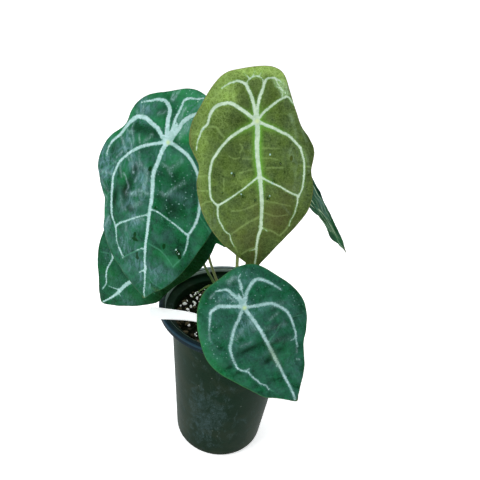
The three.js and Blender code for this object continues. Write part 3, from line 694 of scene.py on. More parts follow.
                (-38, -80), (-35, -88), (-35, -104), (-33, -113), (-30, -121), (-31, -130)]),
            ((2.8, 2.4, 1.0), [(0, 0), (14, -4), (27, -14), (36, -30), (38, -48), (35, -60), (30, -70),
                (24, -78)]),
            ((3.2, 2.6, 0.8), [(0, 0), (-12, 8), (-26, 13), (-38, 8), (-46, -6), (-50, -22)]),
            ((3.2, 2.6, 0.8), [(0, 0), (12, 8), (25, 13), (34, 9), (38, 2)]),
            ((3.0, 2.4, 0.8), [(0, 0), (-4, 14), (-9, 27), (-18, 33), (-28, 30)]),
            ((3.0, 2.4, 0.8), [(0, 0), (4, 14), (9, 27), (17, 33), (27, 29)]),
            ((1.5, 1.3, 1.6), [(2, -52), (-12, -60), (-28, -70), (-40, -72)]),
            ((1.5, 1.3, 1.6), [(2, -50), (14, -56), (28, -64), (36, -66)]),
            ((1.6, 0.9, 0.5), [(-13, -118), (-20, -121), (-26, -122)]),
            ((1.8, 0.5), [(-13, -122), (-9, -125)])],
        "faint": [(0.9, [(-26, -122), (-31, -121)]), (0.8, [(-2, -88), (14, -96), (24, -98)]),
            (0.8, [(-40, -60), (-52, -70)]), (0.8, [(-41, -86), (-50, -90)])],
        "paintedStreaks": [],
        "glow": [],
        "brown": [(-26, -147, 2, 2, 0.4)],
        "pitsAndDropShadows": [],
        "curls": [],
        "paintedSheen": [(-20, -112, 16, 12, 0.3), (0, -126, 16, 8, 0.45), (-40, -88, 8, 10, 0.35)],
        "deep": [(44, -46, 18, 40, 1.3), (34, -90, 14, 22, 1.0), (20, -110, 10, 10, 0.4)],
        "lush": [(-30, -108, 10, 12, 0.3), (4, -112, 10, 8, 0.35), (61, -9, 6, 5, 1.4)],
        "dotted": [(-42, -92, 9, 9, 0.4)],
        "folds": [((-30, -96), (-46, -110), 0.5, 5), ((-6, -108), (10, -124), 0.5, 6)],
    },
    "front": {
        "joint": (9, -92, 250), "faces": 12, "tips": 22, "roll": 30,
        "bendDown": 0.0015, "bendUp": 0.006, "cup": 0.003, "wave": (1.4, 4, 1.2),
        "middle": (0, -34), "across": 82, "along": 112,
        "outline": [(4, -107), (-3, -101), (-12, -93), (-20, -87), (-27, -77), (-37, -61), (-46, -45),
            (-50, -29), (-48, -12), (-43, 5), (-34, 20), (-22, 29), (-9, 32), (6, 34), (19, 32), (30, 25),
            (39, 11), (47, -4), (51, -20), (49, -35), (42, -48), (33, -60), (25, -78), (15, -92),
            (8, -101)],
        "veins": [
            ((3.4, 2.7, 1.6), [(0, 0), (1, -6), (2, -12), (3, -19), (4, -33), (4, -57), (4, -80), (4, -94),
                (3, -104)]),
            ((2.6, 2.8, 2.5, 1.3, 1.1, 0.6), [(0, 0), (-4, -3), (-9, -8), (-14, -11), (-19, -16),
                (-23, -22), (-27, -27), (-29, -34), (-30, -45), (-29, -50), (-25, -54), (-23, -56),
                (-22, -62), (-20, -67), (-18, -73), (-15, -76), (-14, -81)]),
            ((2.8, 3.2, 0.7), [(0, 0), (-3, 3), (-9, 6), (-15, 9), (-18, 11), (-23, 11), (-27, 10),
                (-30, 6), (-33, 1), (-36, -4)]),
            ((3.0, 2.8, 0.9), [(0, 0), (0, 7), (-2, 12), (-4, 17), (-5, 20), (-8, 22), (-15, 24)]),
            ((1.6, 0.5, 0.9, 0.6), [(0, 0), (3, 6), (5, 11), (6, 17), (7, 21), (7, 24), (11, 27)]),
            ((2.8, 3.0, 0.8), [(0, 0), (4, 5), (8, 10), (14, 14), (18, 16), (22, 16), (25, 14), (28, 11),
                (31, 7), (34, 2), (37, -3)]),
            ((2.8, 2.5, 0.8), [(0, 0), (5, -2), (12, -5), (18, -7), (24, -10), (28, -15), (31, -20),
                (33, -25), (33, -33), (32, -40), (31, -46), (29, -51), (27, -58)]),
            ((1.4, 0.5), [(-24, -54), (-21, -53)]),
            ((1.4, 0.8, 0.3), [(30, -49), (27, -50), (24, -49)]),
            ((1.6, 0.5), [(4, -62), (2, -64)]),
            ((2.6, 2.2, 0.5), [(6, 16), (7, 20), (8, 23)]),
            ((5.5, 4.0, 2.0), [(0, 2), (0.5, 7), (1, 12)])],
        "faint": [(1.0, [(-14, -81), (-11, -85)]), (0.7, [(33, -30), (44, -34)]),
            (0.7, [(3, -40), (14, -36), (22, -30)])],
        "paintedStreaks": [(1.1, 0.6, [(-22, 21), (-17, 23)]), (2.2, 0.9, [(-1, 26), (3, 27), (5, 26)]),
            (1.0, 0.5, [(-37, -6), (-39, -11)]), (1.6, 0.4, [(16, -21), (25, -20)]),
            (2.2, 0.25, [(7, -26), (16, -30), (26, -32)]), (2.2, 0.2, [(6, -38), (14, -42), (24, -46)]),
            (3.0, 0.5, [(-1, -14), (0, -22)]), (0.8, 0.7, [(26, -58), (24, -63)]),
            (0.8, 0.8, [(21, -68), (23, -70)]), (2.2, 0.35, [(23, -12), (32, -14)]),
            (1.6, 0.3, [(-18, -30), (-9, -31)]), (1.2, 0.5, [(-7, 15), (-4, 7)]),
            (1.4, 0.35, [(-20, 14), (-12, 17)]), (2.4, 0.4, [(-20, -22), (-10, -18)])],
        "glow": [],
        "brown": [(4, -107, 3, 3, 0.7), (4, -54, 2.4, 12, 0.7)],
        "pitsAndDropShadows": [],
        "curls": [],
        "paintedSheen": [(0, 3, 7, 7, 1.3), (0, -8, 8, 8, 1.1), (-5, 14, 9, 7, 0.8), (-8, -16, 10, 9, 0.8),
            (14, -8, 14, 4, 0.6), (-20, -30, 12, 12, 0.3), (-38, -14, 8, 16, 0.35), (22, -32, 12, 8, 0.4),
            (8, 28, 16, 4, 0.45), (-14, 18, 8, 7, 0.35), (38, -30, 6, 18, 0.35), (14, -70, 10, 14, 0.3),
            (12, 18, 10, 5, 0.6), (-24, 2, 8, 6, 0.25), (0, -46, 8, 10, 0.3)],
        # These dark bands along the puckers are painted shade in the grooves.
        "deep": [(-14, -37, 12, 2.6, 0.9), (17, -30, 7, 2.4, 0.85), (14, -42, 8, 2.6, 0.9),
            (-3, -56, 6, 2.6, 0.9), (-36, -44, 4, 1.8, 0.7), (-30, -52, 6, 1.8, 0.7),
            (36, -32, 6, 2.2, 0.8), (12, -52, 6, 2.4, 0.8), (5, -44, 3, 12, 0.3), (46, -22, 4, 14, 0.5)],
        "lush": [(-47, -24, 6, 16, 0.6), (-45, -44, 6, 14, 0.35), (-44, 0, 7, 14, 0.7), (18, -8, 8, 5, 0.3),
            (-34, -62, 8, 9, 0.35), (14, -56, 7, 6, 0.4), (-32, 24, 6, 5, 0.5), (0, 30, 16, 3, 0.4)],
        "dotted": [(-36, -16, 12, 24, 0.7), (-20, 20, 12, 8, 0.9), (8, 25, 22, 6, 0.8), (14, 8, 10, 8, 0.7),
            (-6, 16, 8, 8, 0.9), (40, 4, 8, 14, 0.5), (44, -24, 6, 16, 0.5)],
        "folds": [((-23, -36), (-4, -37), -1.5, 2.5), ((8, -36), (20, -38), -1.4, 2.3),
            ((-28, -42), (-10, -41), -1.2, 2.3), ((-1, -39), (11, -46), -1.3, 2.4),
            ((6, -51), (17, -51), -1.2, 2.5), ((-8, -59), (2, -53), -1.2, 2.6),
            ((-43, -44), (-33, -44), -1.0, 2.2), ((-35, -53), (-26, -51), -0.9, 2.2),
            ((30, -31), (43, -33), -1.0, 2.5), ((12, -27), (20, -26), -0.9, 2.0),
            ((16, -21), (25, -20), 0.9, 2.4), ((7, -26), (26, -32), 1.1, 2.5),
            ((6, -40), (24, -47), 1.1, 2.4), ((-18, -29), (-4, -28), 1.1, 3.0),
            ((-14, -48), (2, -46), 1.2, 3.2), ((-30, -36), (-26, -28), 0.8, 3.0)],
    },
    "right": {
        "joint": (26, 41, 352), "faces": 85, "tips": 46, "roll": 4,
        "bendDown": 0.001, "bendUp": 0.005, "cup": -0.0025, "wave": (1.5, 5, 4.9),
        "middle": (0, -46), "across": 62, "along": 96,
        "outline": [(-4, -138), (-5, -132), (-9, -124), (-16, -116), (-25, -104), (-31, -90), (-34, -75),
            (-44, -56), (-52, -35), (-48, -12), (-36, 14), (-24, 33), (-8, 40), (8, 40), (24, 33), (36, 16),
            (43, -8), (45, -32), (42, -56), (35, -79), (28, -97), (24, -106), (22, -118), (19, -128),
            (14, -135), (8, -139), (1, -140)],
        "veins": [
            ((3.4, 3.0, 3.0, 1.1), [(0, 0), (-3, -16), (-8, -34), (-14, -50), (-16, -60), (-8, -70),
                (0, -81), (2, -90), (0, -96), (-3, -104), (-5, -118), (-5, -130)]),
            ((2.4, 2.0, 0.8), [(0, 0), (-12, -4), (-24, -12), (-32, -24), (-36, -38), (-33, -54),
                (-26, -70), (-20, -86), (-14, -100)]),
            ((2.4, 2.0, 0.8), [(0, 0), (12, -4), (22, -12), (30, -24), (33, -38), (32, -54), (28, -70),
                (22, -86), (14, -102)]),
            ((2.6, 2.2, 0.7), [(0, 0), (-10, 8), (-22, 12), (-32, 6), (-40, -8)]),
            ((2.6, 2.2, 0.7), [(0, 0), (10, 8), (21, 12), (30, 6), (37, -8)]),
            ((2.4, 2.0, 0.7), [(0, 0), (-3, 12), (-8, 24), (-16, 29)]),
            ((2.4, 2.0, 0.7), [(0, 0), (3, 12), (8, 24), (16, 28)]),
            ((1.4, 1.2, 1.4), [(-6, -44), (-18, -50), (-32, -56)]),
            ((1.4, 1.2, 1.4), [(-6, -42), (10, -48), (32, -54)])],
        "faint": [(0.8, [(-3, -88), (8, -94), (18, -96)]), (0.8, [(-3, -92), (-10, -98), (-16, -98)])],
        "paintedStreaks": [(1.2, 0.7, [(10, -62), (8, -84), (6, -104)]), (1.3, 0.7, [(20, -60), (18, -84)]),
            (1.4, 0.7, [(-22, -62), (-16, -84)]), (1.2, 0.6, [(2, -66), (1, -88), (2, -108)]),
            (2.6, 0.9, [(-14, -88), (-8, -106)]), (2.6, 0.8, [(0, -100), (4, -120)])],
        "glow": [],
        "brown": [(-3, -136, 6, 4, 1.3)],
        "pitsAndDropShadows": [],
        "curls": [(-46, -54, 12, 14, -2.7), (-34, -76, 8, 7, 1.2), (-27, -104, 12, 12, -2.3)],
        "paintedSheen": [(20, -76, 13, 14, 1.1), (-14, -68, 8, 8, 0.6), (10, -92, 6, 8, 0.5)],
        "deep": [(35, -80, 7, 22, 1.1), (-28, -80, 8, 22, 0.9), (-17, -106, 6, 14, 0.3),
            (10, -112, 10, 10, 0.7)],
        "lush": [(-16, -72, 8, 10, 0.5), (0, -114, 16, 14, 0.6)],
        "dotted": [(16, -78, 8, 12, 0.3)],
        "folds": [((10, -60), (26, -90), 0.6, 5)],
    },
}

bladeForm = {
    "halfThickness": 0.36, "rimThickness": 0.16, "rimFade": 3, "quilt": 0.8, "quiltReach": 7.0,
    "veinWidth": 0.95, "veinBlend": 0.55, "backRib": 0.75, "ribSpread": 1.2, "ribSoft": 1.1,
    "ribFade": 12, "swell": 0.6, "swellSize": 24.0, "pucker": 0.26, "puckerSize": 8.0,
    "rimRipple": 0.35, "rimRippleSize": 17.0, "farthest": 12,
}


def bladeFrame(leaf):
    turn, lean, roll = [math.radians(leaf[key]) for key in ("faces", "tips", "roll")]
    face = Vector((math.sin(turn) * math.cos(lean), -math.cos(turn) * math.cos(lean), math.sin(lean)))
    fall = Vector((math.sin(turn) * math.sin(lean), -math.cos(turn) * math.sin(lean), -math.cos(lean)))
    side = face.cross(fall)
    down = fall * math.cos(roll) + side * math.sin(roll)
    right = side * math.cos(roll) - fall * math.sin(roll)
    return [np.array(axis) for axis in (leaf["joint"], right, -down, face)]


def bladeLift(leaf, u, v, share):
    height, count, phase = leaf["wave"]
    wave = height * share ** 2 * np.sin(count * np.arctan2(u, -v) + phase)
    along = np.where(v < 0, leaf["bendDown"], leaf["bendUp"])
    return wave - along * v ** 2 / 2 - leaf["cup"] * u ** 2 / 2


def rimShare(rim, u, v):  # how far each place is along the line from the joint to the rim
    turns = np.arctan2(rim[:, 0], -rim[:, 1])
    order = np.argsort(turns)
    reach = np.hypot(rim[:, 0], rim[:, 1])
    full = np.interp(np.arctan2(u, -v), turns[order], reach[order], period=circle)
    return np.hypot(u, v) / full


def routeDistance(u, v, route, widths=(0, 0)):  # distances to a route's edges and to its middle
    points = splinePoints(route, perSpan=4)
    along = runLength(points) / runLength(points)[-1]
    half = np.interp(along, np.linspace(0, 1, len(widths)), widths) / 2
    edge = np.full_like(u, 1e3)
    centre = np.full_like(u, 1e3)
    for a, b, halfA, halfB in zip(points[:-1], points[1:], half[:-1], half[1:]):
        step = b - a
        t = np.clip(((u - a[0]) * step[0] + (v - a[1]) * step[1]) / (step @ step), 0, 1)
        gap = np.hypot(u - a[0] - t * step[0], v - a[1] - t * step[1])
        np.minimum(centre, gap, out=centre)
        np.minimum(edge, gap - halfA - t * (halfB - halfA), out=edge)
    return edge, centre


def softLines(u, v, lines):  # the sum of soft lines of (width, strength, route)
    total = np.zeros_like(u)
    for width, strength, route in lines:
        total += strength * np.exp(-(routeDistance(u, v, route)[1] / width) ** 2)
    return total


def bladeRim(leaf):
    count = 4 * (leaf["across"] + leaf["along"])
    return evenly(splinePoints(leaf["outline"], closed=True), count, closed=True)


def bladeShape(leaf, rim, u, v, seed):  # distances to the rim and to the veins, and the height of the face
    form = bladeForm
    share = rimShare(rim, u, v)
    reach = np.hypot(u, v)
    rimGap = np.where(share > 0.02, reach / np.maximum(share, 0.02) - reach, 50.0)
    edges, centres = zip(*[routeDistance(u, v, route, np.array(widths) * form["veinWidth"])
                           for widths, route in leaf["veins"]])
    nearest = np.min(centres, axis=0)
    quilt = form["quilt"] * (1 - np.exp(-(nearest / form["quiltReach"]) ** 2))
    swell = form["swell"] * ripples(u, v, form["swellSize"], seed)
    pucker = form["pucker"] * ripples(u, v, form["puckerSize"], seed + 1) * smooth(nearest, 1, 6)
    rimWave = form["rimRipple"] * share ** 4 * ripples(u, v, form["rimRippleSize"], seed + 2)
    folds = softLines(u, v, [(width, height, ends) for *ends, height, width in leaf["folds"]])
    lift = bladeLift(leaf, u, v, share) + (quilt + swell + pucker) * (1 - 0.5 * share ** 6)
    lift += rimWave + folds + spots(u, v, leaf["curls"])
    return rimGap, edges, lift


def makeLeaf(name, leaf, look, seed):
    form = bladeForm
    joint, right, up, face = bladeFrame(leaf)
    across, along = leaf["across"], leaf["along"]
    rim = bladeRim(leaf)
    u, v = gridPlaces(rim, leaf["middle"], across, along)
    rimGap, edges, lift = bladeShape(leaf, rim, u, v, seed)
    soft = form["veinBlend"]
    vein = -soft * np.log(np.sum([np.exp(-np.clip(edge, -3, 30) / soft) for edge in edges], axis=0))
    faint = np.min([routeDistance(u, v, route, (width, width, width * 0.7))[0]
                    for width, route in leaf["faint"]], axis=0)
    half = form["rimThickness"] + (form["halfThickness"] - form["rimThickness"]) * smooth(
        rimGap, 0, form["rimFade"])
    rib = form["backRib"] * np.exp(-(np.maximum(vein + form["ribSpread"], 0) / form["ribSoft"]) ** 2)
    rib *= smooth(rimGap, 0, form["ribFade"])
    flat = joint + np.outer(u, right) + np.outer(v, up)
    points = np.vstack([flat + np.outer(lift + offset, face) for offset in (half, -half - rib)])
    quads, loop = gridFaces(across, along)
    size = len(u)
    border = strip(loop, loop + size)
    faces = np.vstack([quads, quads[:, ::-1] + size, border])
    faceMaterials = np.repeat([0, 1, 0], [len(quads), len(quads), len(border)])
    rows = {
        "vein": np.clip(vein, -3, form["farthest"]), "faint": np.clip(faint, -3, form["farthest"]),
        "rim": rimGap, "heart": np.hypot(u - 0.5, v + 0.5),
        "paintedStreak": np.clip(softLines(u, v, leaf["paintedStreaks"]), 0, 1),
        **{key: np.clip(spots(u, v, leaf[key]), 0, 1) for key in spotRows},
        "place": np.column_stack([u + 200 * seed, v, np.zeros(size)]),
    }
    rows = {key: np.concatenate([values, values]) for key, values in rows.items()}
    materials = [leafFace(f"{name} face", look), leafBack(f"{name} underside", look)]
    piece = meshPiece(f"blade_{name}", points, faces, materials, True, faceMaterials, rows)
    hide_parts(f"leaf_{name}")
    print(f"blade {name}: {len(faces) * 2} triangles")


# Drops of water: places on the blade and radii, by how clear they are. The cloudy ones are pale and partly
# opaque, a painted white glint.

drops = {
    "centre": {0.35: [(-19.5, -43, 0.75), (12, -27, 0.7), (15, -51, 0.65), (13.5, -62, 0.55), (-43, -8, 0.6),
                      (-11, -61, 0.6)],
               1.0: [(-17.5, -44, 1.2), (-9.5, -62.5, 1.3), (12, -64, 1.4), (-27, -60, 0.9), (1, -66, 1.1),
                     (21, -34, 1.1), (16, -49, 1.0)]},
    "left": {0.35: [(30.2, -93, 0.85), (33.2, -96.2, 0.8), (20, 27, 0.5), (16, 40, 0.5), (30, 24, 0.5)],
             1.0: [(31.4, -94.8, 1.2), (34.4, -98, 1.1)]},
}
beadForm = {"proportions": (1.0, 1.15, 0.62), "stands": 0.2}


def ballShape(level):  # a unit ball's vertices and faces
    ball = bmesh.new()
    bmesh.ops.create_icosphere(ball, subdivisions=level, radius=1)
    vertices = np.array([vertex.co[:] for vertex in ball.verts])
    faces = np.array([[vertex.index for vertex in face.verts] for face in ball.faces])
    ball.free()
    return vertices, faces


def waterSkin(clear):
    material, tree, shader, place = solidMaterial(f"water {clear}")
    # A pale colour, so the cloudy drops show a painted white glint.
    colour = blend(tree, noise(tree, place, 2.0, 1), (0.56, 0.92, 0.80), (0.68, 1.0, 0.90))
    feed(tree, shader, {"Base Color": colour, "Transmission Weight": clear, "Roughness": 0.05, "IOR": 1.33})
    return material


def makeDrops(name, number, places, skin, seed):
    leaf = leaves[name]
    joint, right, up, face = bladeFrame(leaf)
    u, v, radii = np.array(places, float).T
    lift = bladeShape(leaf, bladeRim(leaf), u, v, seed)[2] + bladeForm["halfThickness"]
    ball, ballFaces = ballShape(3)
    vertices, faces = [], []
    for i, radius in enumerate(radii):
        centre = joint + u[i] * right + v[i] * up + (lift[i] + beadForm["stands"] * radius) * face
        vertices.append(centre + (ball * radius * beadForm["proportions"]) @ np.array([right, up, face]))
        faces.append(ballFaces + i * len(ball))
    piece = meshPiece(f"drops_{name}_{number}", np.vstack(vertices), np.vstack(faces), [skin])


water = {clear: waterSkin(clear) for clear in (0.35, 1.0)}
for seed, (leafName, leaf) in enumerate(leaves.items(), 3):
    makeLeaf(leafName, leaf, leafLooks[leafName], seed)
    for number, (clear, places) in enumerate(drops.get(leafName, {}).items(), 1):
        makeDrops(leafName, number, places, water[clear], seed)


# Stems: petioles, bract and crown. A root is its turn and rise from the crown's dome, in degrees.

crownForm = {"x": 4, "y": -4, "radius": 10, "shoulder": 171, "foot": 150, "rings": 40, "sides": 64,
             "straight": 0.45, "inset": 0.4, "wave": 0.35, "wavePace": 2.1, "rib": 0.3, "ribs": 9,
             "ribTwist": 0.7, "topInset": 0.3, "topRadius": 0.05, "ridgeFade": 4}

petioles = {
    "left": {"root": (200, 55), "radius": 1.5, "via": [(-32, -3, 243), (-46, 4, 300), (-57, 16, 338)],
             "low": tone(128, 136, 74), "high": tone(102, 132, 60)},
    # The centre stalk's upper tone is lightened: painted light that makes up for the shade it stands in.
    "centre": {"root": (280, 82), "radius": 1.85, "via": [(-2.5, -6, 250), (-4, -14, 335)],
               "low": tone(158, 164, 92), "high": tone(164, 196, 108)},
    "low": {"root": (150, 45), "radius": 1.45, "via": [(-38, 4, 231), (-57, 16, 268)],
            "low": tone(88, 126, 54), "high": tone(72, 118, 48)},
    "front": {"root": (285, 45), "radius": 1.25, "via": [(7, -40, 221), (7, -66, 238)],
              "low": tone(104, 118, 48), "high": tone(92, 122, 54)},
    "right": {"root": (50, 60), "radius": 1.05, "via": [(8, 8, 240), (11, 28, 300)],
              "low": tone(82, 112, 40), "high": tone(84, 118, 48)},
}
stemForm = {"rootRun": 5, "sunk": 1.5, "footRadius": 2.1, "footFade": 18, "neckRadius": 1.9,
            "neckLength": 14, "flare": 1.1, "flareLength": 1.6, "sides": 20, "steps": 150,
            "flatness": 0.96, "seated": 0.4,
            "lumps": [(0.03, 0.35, 1.0), (0.02, 0.9, 0.0)]}  # height, pace and phase
bractForm = {"root": (178, 18), "via": [(-16, -3, 195), (-27, 2, 205), (-38, 5, 196), (-48, 6, 182.5)],
             "wide": 2.0, "deep": 0.95, "tip": 0.15, "taper": 0.7, "steps": 90, "low": tone(92, 134, 40),
             "high": tone(128, 168, 62)}
sheathForm = {"count": 13, "seed": 21, "rows": 14, "columns": 9, "thickness": 0.35, "wrap": 1.15,
              "sunk": 1.2, "rise": (35, 35), "length": (12, 9), "width": (3.0, 1.6), "curl": (2.4, 2),
              "cupping": 0.6, "taper": 1.6, "waist": 0.75, "belly": 0.5, "tip": 0.12, "stands": 2.2,
              "lifts": 1.5, "crumple": 0.25, "crumplePace": 1.7}  # pairs are the least and the spread


def compass(turn, rise):
    turn, rise = math.radians(turn), math.radians(rise)
    return np.array([math.cos(rise) * math.cos(turn), math.cos(rise) * math.sin(turn), math.sin(rise)])


domeCentre = np.array([crownForm["x"], crownForm["y"], crownForm["shoulder"]], float)


def rootKnots(root):  # the first two points of a stem, below and above the crown's skin
    return [domeCentre + compass(*root) * (crownForm["radius"] + run)
            for run in (-stemForm["sunk"], stemForm["rootRun"])]


def tubeAlong(points, wide, deep, sides):
    tangents = unit(np.gradient(points, axis=0))
    side = np.cross(tangents[0], [0.3, 0.2, 1.0] if abs(tangents[0][2]) < 0.9 else [0, 1, 0])
    angles = roundAngles(sides)
    rings = []
    for point, tangent, w, d in zip(points, tangents, wide, deep):
        side = unit(side - tangent * (side @ tangent))
        other = np.cross(tangent, side)
        rings.append(point + np.outer(w * np.cos(angles), side) + np.outer(d * np.sin(angles), other))
    index, quads = ringFaces(len(points), sides)
    return np.vstack(rings), quads + [index[0][::-1].tolist(), index[-1].tolist()]


def stemSkin(name, low, high):
    material, tree, shader, place = solidMaterial(name)
    along = column(tree, "along")
    fibres = noise(tree, stretchPlace(tree, place, (1.0, 1.0, 0.12)), 1.4, 3)
    colour = layers(
        tree, blend(tree, along, low, high), (mottle(tree, place, 9.0, 2.5), 0.4, tone(110, 104, 48)),
        (fibres, 0.35, tone(62, 84, 30)), (specks(tree, place, 1.6, 0.3, 0.3), 0.5, tone(150, 156, 96)),
        (ramp(tree, along, 0.93, 1.0), 0.6, tone(128, 150, 70)))
    dress(tree, shader, colour, scaled(tree, fibres, 0.25, 0.32), fibres, 0.15, 0.6)
    return material


def makeStem(name, skin, points, run, wide, deep):
    sides = stemForm["sides"]
    vertices, faces = tubeAlong(points, wide, deep, sides)
    return meshPiece(name, vertices, faces, [skin], rows={"along": np.repeat(run / run[-1], sides)})


def makePetiole(name, stem):
    joint, *_, face = bladeFrame(leaves[name])
    form, slim = stemForm, stem["radius"]
    end = joint - face * form["seated"]
    knots = [*rootKnots(stem["root"]), *stem["via"], end - face * form["neckLength"],
             end - face * form["neckLength"] / 3, end]
    points = evenly(splinePoints(knots, centripetal=True), form["steps"])
    run = runLength(points)
    left = run[-1] - run
    foot = (form["footRadius"] - slim) * np.exp(-run / form["footFade"])
    neck = (form["neckRadius"] - slim) * np.exp(-(left / form["neckLength"]) ** 2)
    lumps = 1
    for height, pace, phase in form["lumps"]:
        lumps = lumps + height * np.sin(run * pace + phase)
    flare = form["flare"] * np.exp(-(left / form["flareLength"]) ** 2)
    radius = (slim + foot + neck) * lumps + flare
    skin = stemSkin(f"stalk {name}", stem["low"], stem["high"])
    piece = makeStem(f"stalk_{name}", skin, points, run, radius, radius * form["flatness"])
    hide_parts(f"petiole_{name}")


def makeBract():
    form = bractForm
    knots = [*rootKnots(form["root"]), *form["via"]]
    points = evenly(splinePoints(knots, centripetal=True), form["steps"])
    run = runLength(points)
    taper = (1 - run / run[-1]) ** form["taper"]
    deep, wide = [form[key] * taper + form["tip"] for key in ("deep", "wide")]
    skin = stemSkin("bract", form["low"], form["high"])
    piece = makeStem("bract_spike", skin, points, run, deep, wide)
    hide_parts("bract")


def crownSkin(name, dark, light):
    material, tree, shader, place = solidMaterial(name)
    fibres = noise(tree, stretchPlace(tree, place, (1.0, 1.0, 0.18)), 1.1, 5, 0.4)
    colour = layers(tree, blend(tree, fibres, dark, light),
                    (mottle(tree, place, 5.0, 3.0), 0.5, tone(86, 96, 44)))
    dress(tree, shader, colour, scaled(tree, fibres, 0.2, 0.6), fibres, 0.5, 0.9)
    return material


def makeCrown():
    form = crownForm
    rings, sides, straight = form["rings"], form["sides"], form["straight"]
    angles = roundAngles(sides)
    points = []
    for share in np.arange(rings + 1) / rings:
        if share < straight:
            height = form["foot"] + (form["shoulder"] - form["foot"]) * share / straight
            radius = form["radius"] - form["inset"]
        else:
            angle = (share - straight) / (1 - straight) * math.pi / 2
            height = form["shoulder"] + (form["radius"] - form["topInset"]) * math.sin(angle)
            radius = (form["radius"] - form["inset"]) * math.cos(angle) + form["topRadius"]
        ridge = form["wave"] * np.sin(height * form["wavePace"])
        ridge = ridge + form["rib"] * np.sin(angles * form["ribs"] + height * form["ribTwist"])
        radii = radius + ridge * min(1, radius / form["ridgeFade"])
        x, y = form["x"] + radii * np.cos(angles), form["y"] + radii * np.sin(angles)
        points.append(np.column_stack([x, y, np.full(sides, height)]))
    index, quads = ringFaces(rings + 1, sides)
    faces = quads + [index[0][::-1].tolist(), index[-1].tolist()]
    skin = crownSkin("crown", tone(58, 50, 26), tone(110, 96, 52))
    knob = meshPiece("crown_knob", np.vstack(points), faces, [skin])
    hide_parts("crown")


def makeSheaths():  # dry sheaths that stand round the petioles' feet
    form = sheathForm
    rows, columns = form["rows"], form["columns"]
    size = rows * columns
    row, place = np.arange(rows)[:, None], np.arange(columns)
    share = row / (rows - 1)
    wrap = (place / (columns - 1) * 2 - 1) * form["wrap"]
    random = np.random.default_rng(form["seed"])
    feet = [compass(*stem["root"]) for stem in (*petioles.values(), bractForm)]
    vertices, faces = [], []

    def draw(key):
        least, spread = form[key]
        return least + spread * random.random()

    for number in range(form["count"]):
        out = feet[number] if number < len(feet) else compass(360 * random.random(), draw("rise"))
        side = unit(np.cross([0, 0, 1.0], out))
        back = np.cross(out, side)
        length, width, curl = [draw(key) for key in ("length", "width", "curl")]
        half = width * (1 - share ** form["taper"]) * (form["waist"] + form["belly"] * share) + form["tip"]
        crumple = form["crumple"] * np.sin(row * form["crumplePace"] + place)
        lift = form["stands"] - form["cupping"] * curl * (1 - np.cos(wrap)) + crumple
        steps = ((length * share, out), (form["lifts"] * share ** 2, np.array([0, 0, 1.0])),
                 (half * np.sin(wrap), side), (lift, back))
        grid = domeCentre + out * (crownForm["radius"] - form["sunk"])
        grid = grid + sum(amount[..., None] * axis for amount, axis in steps)
        grid = grid.reshape(-1, 3)
        vertices.append(np.vstack([grid, grid + back * form["thickness"]]))
        index = np.arange(size).reshape(rows, columns) + 2 * size * number
        quads = sheetQuads(index)[:, [0, 3, 2, 1]]
        border = sheetBorder(index)
        faces += quads[:, ::-1].tolist() + (quads + size).tolist() + strip(border, border + size)
    skin = crownSkin("dry sheath", tone(84, 62, 36), tone(156, 124, 78))
    piece = meshPiece("crown_sheaths", np.vstack(vertices), faces, [skin])


for stemName, stem in petioles.items():
    makePetiole(stemName, stem)
makeBract()
print("petioles and bract made")
makeCrown()
makeSheaths()
print("crown made")


# Pot

potForm = {
    "height": 186, "rim": 82.5, "lipDepth": 6.6, "lipWall": 1.6, "collar": 77, "collarDepth": 9.5,
    "wallTop": 68, "base": 53, "rounding": 5, "wall": 1.8, "floor": 2.2, "segments": 256,
    "holes": 6, "holeRadius": 5, "holeRing": 36, "holeSides": 40,
}
# Some of these marks paint light and shade: the far side of the rim and collar is lighter, a painted
# highlight, the lip's top edge has a painted reflection, and the inside below the mouth is darker, dirt and
# painted shade.
potWearAndLight = {  # where each mark begins and where it is full, in radius, height or distance
    "back": (-20.0, 45.0), "mouth": (76.4, 75.6), "wearAndHighlightMouth": (76.2, 75.4), "lip": (77.6, 78.4),
    "paintedLipGlint": (80.6, 81.8), "paintedLipGlintHeight": (183.6, 184.8), "foot": (12.0, 0.0), "handled": (46.0, 6.0),
    "wearAndHighlightHeight": 176.4, "wearAndHighlightRise": 4.5, "wearAndHighlightFade": 2.2,
    "smudge": (-15, -57, 38), "shorten": 0.55,  # handled most here, with heights shortened
}


def rounded(corner, before, after, radius, steps=5):  # replaces a profile corner with a short arc
    corner, before, after = [np.array(point, float) for point in (corner, before, after)]
    start, end = [corner + unit(point - corner) * radius for point in (before, after)]
    t = np.linspace(0, 1, steps + 1)[:, None]
    return (1 - t) ** 2 * start + 2 * t * (1 - t) * corner + t ** 2 * end


def wallRadius(height):
    top = potForm["height"] - potForm["collarDepth"]
    share = (height - potForm["rounding"]) / (top - potForm["rounding"])
    return potForm["base"] + (potForm["wallTop"] - potForm["base"]) * share


